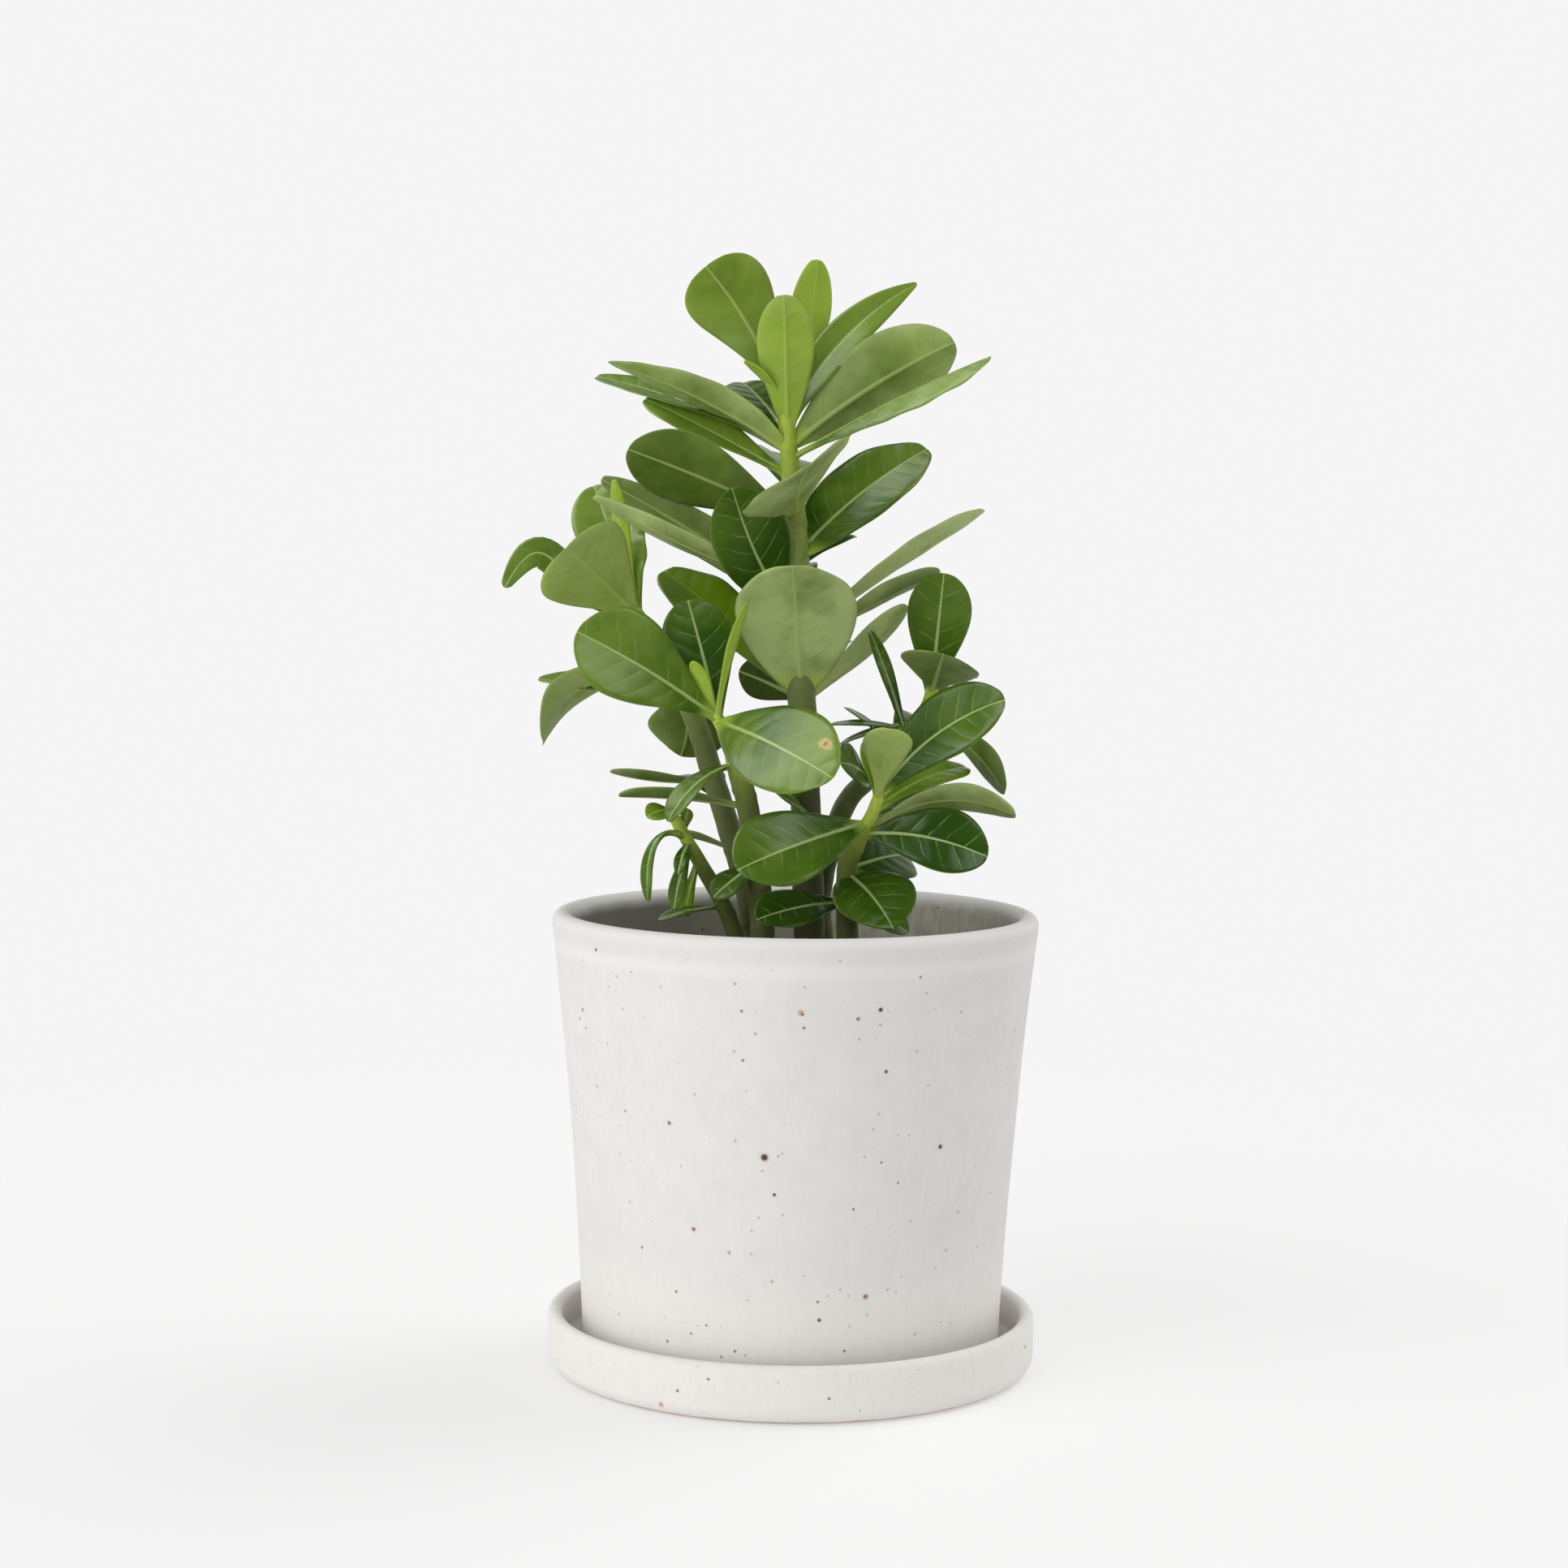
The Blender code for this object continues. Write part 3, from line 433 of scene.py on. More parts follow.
def make_leaf_arrays(shape, route, rng):
    """Points, faces, finishes and marks of one closed leaf."""
    rows, columns = LARGE_GRID if shape["width"] >= LARGE_LEAF else SMALL_GRID
    share = np.linspace(0.0, 1.0, rows + 1)
    q = (1 - (1 - share) ** 1.25)[:, None] * np.ones(columns + 1)[None, :]
    u = np.linspace(-1.0, 1.0, columns + 1)
    s = (np.sign(u) * np.abs(u) ** 1.5)[None, :] * np.ones(rows + 1)[:, None]
    size = rng.uniform(0.15, 0.45) * shape["width"] / 25
    ripples = (rng.uniform(13, 20), rng.uniform(0, math.tau), size)
    root = on_stem(route, shape["height"])
    middle, reach, length = blade_surface(shape, root, q, s, ripples)

    down_rows = np.gradient(middle, axis=0)
    over_columns = np.gradient(middle, axis=1)
    normal = unit(np.cross(over_columns, down_rows))
    face = np.array(shape["face"], float)
    if (normal.reshape(-1, 3).mean(axis=0) @ face) < 0:
        normal = -normal

    stalk = np.clip(1 - q / 0.3, 0, 1) ** 2
    edge = np.sqrt(np.clip(1 - np.abs(s) ** 7, 0, 1) * np.clip(1 - q**26, 0, 1))
    half = 0.05 + edge * (BLADE_THICKNESS / 2 + (PETIOLE_THICKNESS - BLADE_THICKNESS) / 2 * stalk)
    rib_width = RIB_WIDTH * (1 - 0.6 * q) * min(1.0, shape["width"] / 20)
    rib = np.exp(-((reach / rib_width) ** 2)) * edge * (1 - 0.75 * q) * min(1.0, shape["width"] / 20)
    along = q * length
    phase = side_vein_phase(along, reach)
    quilt = np.cos(phase * math.tau) * np.clip(np.abs(s) * 3, 0, 1) * np.clip(1.1 - np.abs(s), 0, 1)
    quilt = -QUILT_HEIGHT * quilt * np.clip(q * 4, 0, 1)
    top = middle + normal * (half - 0.25 * RIB_HEIGHT * rib + quilt)[..., None]
    under = middle - normal * (half + RIB_HEIGHT * rib - quilt)[..., None]

    points = np.concatenate([top.reshape(-1, 3), under.reshape(-1, 3)])
    count = (rows + 1) * (columns + 1)
    upper = grid_faces(rows, columns)
    lower = upper[:, ::-1] + count
    ring = rim_of_grid(rows, columns)
    following = np.roll(ring, -1)
    band = np.stack([following, ring, ring + count, following + count], axis=-1)
    faces = np.concatenate([upper, band, lower])
    corner = points[upper[rows * columns // 2]]
    facing = np.cross(corner[1] - corner[0], corner[2] - corner[0]) @ normal[rows // 2, columns // 2]
    if facing < 0:
        faces = faces[:, ::-1]
    finishes = np.repeat([0, 1], [len(upper) + len(band), len(lower)])

    flat = dict(
        blade=np.stack([along, reach, np.abs(s)], axis=-1),
        growth=np.stack([np.full_like(q, shape["young"]), np.full_like(q, shape["pale"]), q], axis=-1),
    )
    marks = {name: np.tile(values.reshape(-1, 3), (2, 1)) for name, values in flat.items()}
    return points, faces, finishes, marks


def new_object(name, data):
    """An object of some data, in the scene."""
    made = bpy.data.objects.new(name, data)
    bpy.context.scene.collection.objects.link(made)
    return made


def mesh_object(name, points, faces, materials, finishes=None, marks=None):
    """An object from millimetre points, with per-point marks for its materials to read."""
    mesh = bpy.data.meshes.new(name)
    mesh.from_pydata((points * MM).tolist(), [], faces.tolist() if hasattr(faces, "tolist") else faces)
    for finish in materials:
        mesh.materials.append(finish)
    if finishes is not None:
        mesh.polygons.foreach_set("material_index", finishes)
    for mark, values in (marks or {}).items():
        stored = mesh.attributes.new(mark, "FLOAT_VECTOR", "POINT")
        stored.data.foreach_set("vector", values.astype(np.float32).ravel())
    mesh.shade_smooth()
    mesh.update()
    return new_object(name, mesh)


def make_leaves(stem, route, materials):
    """All the leaves of a stem, as one object."""
    rng = random.Random(stem)
    points, faces, finishes, marks = zip(*[make_leaf_arrays(shape, route, rng) for shape in LEAVES[stem]])
    starts = np.cumsum([0] + [len(part) for part in points])
    faces = [part + start for part, start in zip(faces, starts)]
    marks = {mark: np.concatenate([part[mark] for part in marks]) for mark in marks[0]}
    points, faces, finishes = (np.concatenate(parts) for parts in (points, faces, finishes))
    return mesh_object(stem + "_leaves", points, faces, materials, finishes, marks)


def frames_along(centres):
    """Two directions across a route at each point, carried along without twist."""
    runs = unit(np.gradient(centres, axis=0))
    first = unit(np.cross(runs[0], np.array([0.0, 1.0, 0.3])))
    firsts = []
    for run in runs:
        first = unit(first - run * first.dot(run))
        firsts.append(first)
    firsts = np.array(firsts)
    return runs, firsts, np.cross(runs, firsts)


def ring_faces(here, there, sides):
    """Quads between two rings of points, given by their numbers in a stack of rings."""
    faces = []
    for step in range(sides):
        beside = (step + 1) % sides
        near, far = here * sides, there * sides
        faces.append((near + step, near + beside, far + beside, far + step))
    return faces


def make_stem(stem, route, finish):
    """A stem with raised leaf scars, swollen a little where each leaf leaves it."""
    rng = random.Random(stem + "scars")
    start = route[0].copy()
    lead = unit(route[1, :3] - route[0, :3])
    below = [start - np.append(lead * depth, -start[3] * 0.06 * depth) for depth in (6.0, 4.0, 2.0)]
    route = np.concatenate([np.array(below), route])
    centres, radii = route[:, :3], route[:, 3]
    runs, firsts, seconds = frames_along(centres)
    steps = np.linalg.norm(np.diff(centres, axis=0), axis=1)
    distance = np.concatenate([[0.0], np.cumsum(steps)])
    total = distance[-1]

    fine = np.arange(0.0, total, STEM_STEP)
    fine = np.append(fine, [total, total + 0.45 * radii[-1], total + 0.75 * radii[-1]])
    cap = np.ones(len(fine))
    cap[-2:] = (0.72, 0.2)
    inside = np.minimum(fine, total)

    def between_points(rows):
        return np.stack([np.interp(inside, distance, column) for column in rows.T], axis=1)

    centre = between_points(centres) + runs[-1] * np.maximum(fine - total, 0)[:, None]
    first = unit(between_points(firsts))[:, None, :]
    second = unit(between_points(seconds))[:, None, :]
    radius = np.interp(inside, distance, radii) * cap

    angles = np.linspace(0, math.tau, STEM_SIDES, endpoint=False)
    angle_grid, fine_grid = np.meshgrid(angles, fine)
    swell = np.zeros_like(angle_grid)
    for index in range(int(total / SCAR_SPACING)):
        where = index * SCAR_SPACING + rng.uniform(-0.8, 0.8)
        around = index * GOLDEN_ANGLE + rng.uniform(-0.3, 0.3)
        off = np.angle(np.exp(1j * (angle_grid - around)))
        spot = np.exp(-((fine_grid - where) / 1.1) ** 2 - (off / 0.42) ** 2)
        swell += SCAR_SWELL * rng.uniform(0.5, 1.0) * spot
    reach = radius[:, None] * (1 + swell * np.clip(radius / 3, 0.3, 1)[:, None])
    out = first * np.cos(angles)[None, :, None] + second * np.sin(angles)[None, :, None]
    points = centre[:, None, :] + out * reach[..., None]
    for row in range(points.shape[0]):
        for column in range(STEM_SIDES):
            spot = Vector(points[row, column]) * 0.16
            bump = noise.noise(spot) * STEM_BUMPS * min(1, radius[row] / 3)
            points[row, column] += out[row, column] * bump
    faces = []
    for row in range(len(fine) - 1):
        faces += ring_faces(row, row + 1, STEM_SIDES)
    last = (len(fine) - 1) * STEM_SIDES
    faces.append(tuple(range(STEM_SIDES))[::-1])
    faces.append(tuple(range(last, last + STEM_SIDES)))
    to_tip = total - np.minimum(fine_grid, total)
    scar = swell / SCAR_SWELL
    marks = {"stem": np.stack([to_tip, scar, np.zeros_like(scar)], axis=-1).reshape(-1, 3)}
    return mesh_object(stem + "_stem", points.reshape(-1, 3), faces, [finish], marks=marks)


# Materials

class Value:
    """What a node gives out, so that the materials can be written as sums."""

    def __init__(self, tree, socket):
        self.tree = tree
        self.socket = socket

    def __add__(self, other):
        return self.tree.math("ADD", self, other)

    def __sub__(self, other):
        return self.tree.math("SUBTRACT", self, other)

    def __rsub__(self, other):
        return self.tree.math("SUBTRACT", other, self)

    def __mul__(self, other):
        return self.tree.math("MULTIPLY", self, other)

    def __truediv__(self, other):
        return self.tree.math("DIVIDE", self, other)

    def __pow__(self, other):
        return self.tree.math("POWER", self, other)

    def __abs__(self):
        return self.tree.math("ABSOLUTE", self)


class Tree:
    """Short names for the nodes that the materials here use."""

    def __init__(self, tree):
        self.tree = tree

    def put(self, socket, value):
        """A number, a colour or a value from another node on a socket."""
        if isinstance(value, Value):
            self.tree.links.new(value.socket, socket)
        elif socket.type == "RGBA":
            socket.default_value = (*value, 1.0)
        else:
            socket.default_value = value

    def fill(self, made, entries):
        for entry, value in entries.items():
            self.put(made.inputs[entry], value)

    def node(self, kind, entries=None, **settings):
        made = self.tree.nodes.new(kind)
        for key, value in settings.items():
            setattr(made, key, value)
        self.fill(made, entries or {})
        return made

    def value(self, output, kind, entries=None, **settings):
        """One output of a new node."""
        return Value(self, self.node(kind, entries, **settings).outputs[output])

    def math(self, operation, a, b=0.0):
        return self.value(0, "ShaderNodeMath", {0: a, 1: b}, operation=operation)

    def vector(self, output, operation, a, b=(0.0, 0.0, 0.0)):
        return self.value(output, "ShaderNodeVectorMath", {0: a, 1: b}, operation=operation)

    def step(self, value, low, high, out_low=0.0, out_high=1.0):
        """A smooth step from out_low at low to out_high at high. low may be above high."""
        if low > high:
            low, high, out_low, out_high = high, low, out_high, out_low
        entries = dict(enumerate((value, low, high, out_low, out_high)))
        return self.value(0, "ShaderNodeMapRange", entries, interpolation_type="SMOOTHSTEP")

    def mix(self, share, a, b):
        return self.value(2, "ShaderNodeMix", {0: share, 6: a, 7: b}, data_type="RGBA")

    def ramp(self, share, stops, between="LINEAR"):
        """A colour from a row of (position, colour) stops."""
        made = self.node("ShaderNodeValToRGB", {0: share})
        made.color_ramp.interpolation = between
        elements = made.color_ramp.elements
        while len(elements) < len(stops):
            elements.new(0.5)
        for element, (position, colour) in zip(elements, stops):
            element.position = position
            element.color = (*colour, 1.0)
        return Value(self, made.outputs[0])

    def place(self, kind="Object"):
        return self.value(kind, "ShaderNodeTexCoord")

    def noise(self, vector, size_mm, detail=3.0, roughness=0.5, stretch=(1, 1, 1)):
        """Noise from 0 to 1 with features of about size_mm."""
        scaled = self.vector("Vector", "MULTIPLY", vector, stretch)
        entries = {"Vector": scaled, "Scale": 1 / (size_mm * MM), "Detail": detail, "Roughness": roughness}
        return self.value("Fac", "ShaderNodeTexNoise", entries)

    def split(self, vector):
        made = self.node("ShaderNodeSeparateXYZ", {0: vector})
        return [Value(self, output) for output in made.outputs]

    def mark(self, name):
        """The three parts of a mark that the mesh carries."""
        return self.split(self.value("Vector", "ShaderNodeAttribute", attribute_name=name))

    def bump(self, height, distance_mm, strength):
        entries = {"Strength": strength, "Distance": distance_mm * MM, "Height": height}
        return self.value(0, "ShaderNodeBump", entries)

    def show_blend(self, share, first, second, output="Material Output"):
        """The surface is a blend of two shaders."""
        entries = {0: share, 1: Value(self, first.outputs[0]), 2: Value(self, second.outputs[0])}
        blend = self.value(0, "ShaderNodeMixShader", entries)
        self.put(self.tree.nodes[output].inputs["Surface"], blend)


def new_material(name):
    """A new material, its tree and its main shader."""
    made = bpy.data.materials.new(name)
    made.use_nodes = True
    return made, Tree(made.node_tree), made.node_tree.nodes["Principled BSDF"]


LEAF_LOOKS = {
    "top": dict(
        mature=(0.028, 0.086, 0.0005),
        fresh=(0.22, 0.38, 0.008),
        # light is the whitish colour that pale blends the top towards: mostly a painted sheen, partly a
        # real paler bloom
        light=(0.19, 0.295, 0.035),
        rib=(0.42, 0.54, 0.20),
        rib_size=0.92,
        rib_share=0.9,
        vein=(0.22, 0.34, 0.07),
        vein_share=0.7,
        margin=(0.14, 0.25, 0.035),
        stalk=(0.32, 0.45, 0.06),
        roughness=(0.20, 0.34),
        gloss=0.48,
    ),
    "underside": dict(
        mature=(0.088, 0.150, 0.012),
        fresh=(0.34, 0.50, 0.040),
        # light is the paler colour that pale blends the underside towards: partly its real paler colour,
        # partly painted sheen and light
        light=(0.43, 0.53, 0.20),
        rib=(0.42, 0.52, 0.17),
        rib_size=1.0,
        rib_share=0.65,
        vein=(0.12, 0.18, 0.04),
        vein_share=0.3,
        margin=(0.30, 0.40, 0.12),
        stalk=(0.38, 0.50, 0.08),
        roughness=(0.48, 0.60),
        gloss=0.25,
    ),
}
LIGHT_THROUGH_LEAF = (0.12, 0.32, 0.004)
LEAF_THROUGH_SHARE = 0.16
# The near-black green that painted shade darkens a leaf towards, where pale is below 0
PAINTED_LEAF_SHADE = (0.010, 0.032, 0.001)
# The dry spot near the edge of one front leaf: (x, height), and how wide it looks for its height
SCORCH = (8.0, 196.6)
SCORCH_SQUEEZE = 0.8
SCORCH_EDGE = (0.55, 0.42, 0.12)
SCORCH_MIDDLE = (0.27, 0.11, 0.03)


def leaf_material(side):
    """A waxy leaf face: midrib, side veins, pale margin and stalk, by age, from the blade's own marks, with
    painted sheen and painted shade set by each leaf's pale.
    """
    looks = LEAF_LOOKS[side]
    made, t, shader = new_material("leaf_" + side)
    along, across, out = t.mark("blade")
    young, pale, length_share = t.mark("growth")
    place = t.place()

    cloud = t.noise(place, 15.0)
    blotch = t.noise(place, 3.6)
    fine = t.noise(place, 1.4)
    yellower = (t.noise(place, 22.0, detail=2.0) - 0.5) * (young * 1.3 + 0.4)
    young = t.math("MAXIMUM", young + yellower, 0.0)
    base = t.mix(young, looks["mature"], looks["fresh"])
    # Painted sheen: the face is blended towards its light colour in soft clouds, more towards the tip on
    # the top and towards the margins underneath, as far as each leaf's pale takes it
    uneven = (cloud - 0.5) * 1.4 + (blotch - 0.5) * 0.25
    uneven += (length_share - 0.55) * 0.85 if side == "top" else (out - 0.5) * 0.3
    bloom_sheen_and_shade = pale + uneven * (pale + 0.5)
    base = t.mix(t.math("MAXIMUM", bloom_sheen_and_shade, 0.0), base, t.mix(young, looks["light"], looks["fresh"]))
    # Painted shade: where pale and the clouds fall below 0, the face is darkened towards the near-black
    # shade green
    dark = t.math("MINIMUM", bloom_sheen_and_shade * -1.6, 0.7)
    base = t.mix(t.math("MAXIMUM", dark, 0.0), base, PAINTED_LEAF_SHADE)

    away = abs(across)
    stagger = t.math("GREATER_THAN", across, 0.0) * 0.5
    wobble = (t.noise(place, 6.0, detail=2.0) - 0.5) * 2.2
    phase = (along - away * VEIN_SLANT - away**2.0 * VEIN_CURVE + wobble) / VEIN_SPACING + stagger
    off = 0.5 - abs(t.math("FRACT", phase) - 0.5)
    vein = t.step(off, 0.05, 0.01) * t.step(out, 1.0, 0.55) * t.step(length_share, 0.05, 0.2)
    vein *= t.step(t.noise(place, 5.0, detail=1.0), 0.3, 0.6)
    base = t.mix(vein * looks["vein_share"], base, looks["vein"])
    base = t.mix(t.step(out, 0.955, 0.995) * 0.55, base, looks["margin"])

    thinning = 1.0 - length_share * 0.75
    rib = t.step(away / (thinning * looks["rib_size"]), 1.2, 0.5) * looks["rib_share"]
    base = t.mix(rib, base, t.mix(young, looks["rib"], looks["stalk"]))
    base = t.mix(t.step(length_share, 0.17, 0.05), base, looks["stalk"])

    if side == "top":
        flat = t.vector("Vector", "MULTIPLY", place, (SCORCH_SQUEEZE, 0.0, 1.0))
        middle = (SCORCH_SQUEEZE * SCORCH[0] * MM, 0.0, SCORCH[1] * MM)
        ragged = t.vector("Value", "DISTANCE", flat, middle) + (fine - 0.5) * (1.6 * MM)
        base = t.mix(t.step(ragged, 2.1 * MM, 1.2 * MM), base, SCORCH_EDGE)
        base = t.mix(t.step(ragged, 0.85 * MM, 0.4 * MM, 0.0, 0.85), base, SCORCH_MIDDLE)
    relief = t.step(off, 0.0, 0.2) * 0.4 + fine * 0.5
    t.fill(shader, {
        "Base Color": base,
        "Roughness": t.step(t.noise(place, 9.0, detail=2.0), 0.2, 0.8, *looks["roughness"]),
        "Specular IOR Level": looks["gloss"],
        "Normal": t.bump(relief, 0.12, strength=0.5),
    })
    through = t.node("ShaderNodeBsdfTranslucent", {"Color": LIGHT_THROUGH_LEAF})
    t.show_blend(LEAF_THROUGH_SHARE, shader, through)
    return made


# Colours down a stem, by the share of STEM_FADE below its tip
STEM_FADE = 170.0
STEM_COLOURS = [
    (0.00, (0.44, 0.57, 0.05)),
    (0.10, (0.31, 0.41, 0.03)),
    (0.20, (0.22, 0.30, 0.05)),
    (0.38, (0.18, 0.235, 0.045)),
    (0.65, (0.115, 0.145, 0.035)),
    (1.00, (0.095, 0.095, 0.04)),
]


def stem_material():
    """Lime near the tip, then olive, then grey-brown, with fine streaks, pale scars and painted shade low
    in the plant.
    """
    made, t, shader = new_material("stem_skin")
    to_tip, scar, _ = t.mark("stem")
    place = t.place()
    streak = t.noise(place, 1.1, detail=4.0, stretch=(1, 1, 0.18))
    patch = t.noise(place, 5.0)
    colour = t.ramp(to_tip / STEM_FADE, STEM_COLOURS)
    colour = t.mix(t.step(streak, 0.45, 0.75) * 0.45, colour, (0.19, 0.20, 0.10))
    colour = t.mix(t.step(patch, 0.5, 0.75) * 0.35, colour, (0.075, 0.095, 0.025))
    colour = t.mix(t.step(scar, 0.45, 0.9) * 0.5, colour, (0.25, 0.26, 0.13))
    # Painted shade: below about 225 mm and away from the tip the skin is darkened, for the shade under the
    # leaves
    low = t.step(t.split(place)[2], 225 * MM, 185 * MM, 0.0, 0.6) * t.step(to_tip, 6.0, 30.0)
    t.fill(shader, {
        "Base Color": t.mix(low, colour, (0.055, 0.062, 0.02)),
        "Roughness": t.step(patch, 0.3, 0.7, 0.5, 0.68),
        "Specular IOR Level": 0.4,
        "Normal": t.bump(streak + t.noise(place, 0.5) * 0.5, 0.25, strength=0.6),
    })
    return made


def bark_material():
    """Grey-brown bark with pale rings and dark pores."""
    made, t, shader = new_material("caudex_bark")
    place = t.place()
    patch = t.noise(place, 7.0, detail=5.0)
    fine = t.noise(place, 0.9, detail=5.0, roughness=0.65)
    rings = t.noise(place, 1.6, stretch=(0.25, 0.25, 1.6))
    colour = t.mix(t.step(patch, 0.35, 0.65), (0.13, 0.11, 0.075), (0.25, 0.225, 0.165))
    colour = t.mix(t.step(rings, 0.5, 0.7) * 0.5, colour, (0.33, 0.30, 0.23))
    t.fill(shader, {
        "Base Color": t.mix(t.step(fine, 0.55, 0.7) * 0.6, colour, (0.07, 0.055, 0.035)),
        "Roughness": 0.8,
        "Specular IOR Level": 0.3,
        "Normal": t.bump(fine * 0.7 + rings, 0.5, strength=0.8),
    })
    return made


# Kinds of soil grain, from dark crumbs to white perlite, by the share where each begins
GRAIN_COLOURS = [
    (0.00, (0.030, 0.019, 0.012)),
    (0.42, (0.085, 0.052, 0.030)),
    (0.72, (0.17, 0.105, 0.055)),
    (0.86, (0.22, 0.20, 0.17)),
    (0.945, (0.62, 0.60, 0.55)),
]
PERLITE_FROM = GRAIN_COLOURS[-1][0]


def soil_material(name, by_grain):
    """Dark crumbly soil, or its grains, each in the colour of its kind."""
    made, t, shader = new_material(name)
    place = t.place()
    clump = t.noise(place, 4.0, detail=5.0, roughness=0.6)
    fine = t.noise(place, 0.7, detail=4.0, roughness=0.7)
    colour = t.mix(t.step(clump, 0.35, 0.7), (0.022, 0.014, 0.009), (0.075, 0.05, 0.032))
    colour = t.mix(t.step(fine, 0.55, 0.75) * 0.5, colour, (0.13, 0.095, 0.065))
    if by_grain:
        kind = t.mark("grain")[0]
        colour = t.mix(t.step(fine, 0.35, 0.7) * 0.35, t.ramp(kind, GRAIN_COLOURS, "CONSTANT"), colour)
    t.fill(shader, {
        "Base Color": colour,
        "Roughness": 0.92,
        "Specular IOR Level": 0.25,
        "Normal": t.bump(fine, 0.4, strength=0.9),
    })
    return made


GLAZE = (0.635, 0.624, 0.603)
GLAZE_LIGHT = (0.68, 0.672, 0.652)
GLAZE_GREY = (0.545, 0.541, 0.53)
GLAZE_BRIGHT = (0.70, 0.69, 0.667)
GLAZE_PAINTED_BOUNCE = (0.74, 0.717, 0.68)
BARE_CLAY = (0.42, 0.23, 0.17)
INSIDE = (0.185, 0.18, 0.145)
INSIDE_PAINTED_LIT = (0.46, 0.445, 0.375)
INSIDE_DARK = (0.17, 0.165, 0.13)
# Painted light: the foot of the pot and the saucer are painted lighter and warmer, for light bounced off
# the floor and to lift the shade where the pot stands in the saucer
PAINTED_BOUNCE_FROM = 50.0
PAINTED_BOUNCE_FULL = 16.0
SPECK_STRENGTH = {"dark": 0.95, "brown": 0.75, "rust": 0.85, "orange": 0.8, "faint": 0.55}
WITH_HALO = ("dark", "rust", "orange")
HALO_STRENGTH = 0.35
# Specks strewn all round: spacing, how few cells hold one, largest radius, strength on the front,
# strength elsewhere, and two tints
SCATTERED_SPECKS = [
    (6.0, 0.55, 0.62, 0.0, 0.85, ("brown", "rust")),
    (3.4, 0.50, 0.34, 0.42, 0.5, ("faint", "brown")),
]


def strewn_specks(t, place, colour):
    """The colour with small specks all round."""
    front_to_back = t.split(place)[1]
    for spacing, from_pick, largest, front, elsewhere, tints in SCATTERED_SPECKS:
        cells = t.node("ShaderNodeTexVoronoi", {"Vector": place, "Scale": 1 / (spacing * MM)})
        pick, second_pick, _ = t.split(Value(t, cells.outputs["Color"]))
        size = t.step(pick, from_pick, 1.0, 0.3, 1.0) * (largest / spacing)
        soft = 0.12 / spacing
        small = t.step(Value(t, cells.outputs["Distance"]) - size, soft, -soft)
        small *= t.math("GREATER_THAN", pick, from_pick)
        tint = t.mix(second_pick, SPECK_TINTS[tints[0]], SPECK_TINTS[tints[1]])
        colour = t.mix(small * t.step(front_to_back, -35 * MM, 0.0, front, elsewhere), colour, tint)
    return colour


def placed_specks(t, place, colour, specks, radius_at):
    """The colour with the specks of the front, the strong ones in a soft halo."""
    for tint, spots in specks.items():
        for across, height, radius in spots:
            depth = -math.sqrt(radius_at(height) ** 2 - across**2)
            gap = t.vector("Value", "DISTANCE", place, (across * MM, depth * MM, height * MM))
            if tint in WITH_HALO:
                halo = t.step(gap, radius * 1.9 * MM, radius * 0.8 * MM, 0.0, HALO_STRENGTH)
                colour = t.mix(halo, colour, SPECK_HALO)
            dot = t.step(gap, radius * 1.1 * MM, radius * 0.45 * MM, 0.0, SPECK_STRENGTH[tint])
            colour = t.mix(dot, colour, SPECK_TINTS[tint])
    return colour


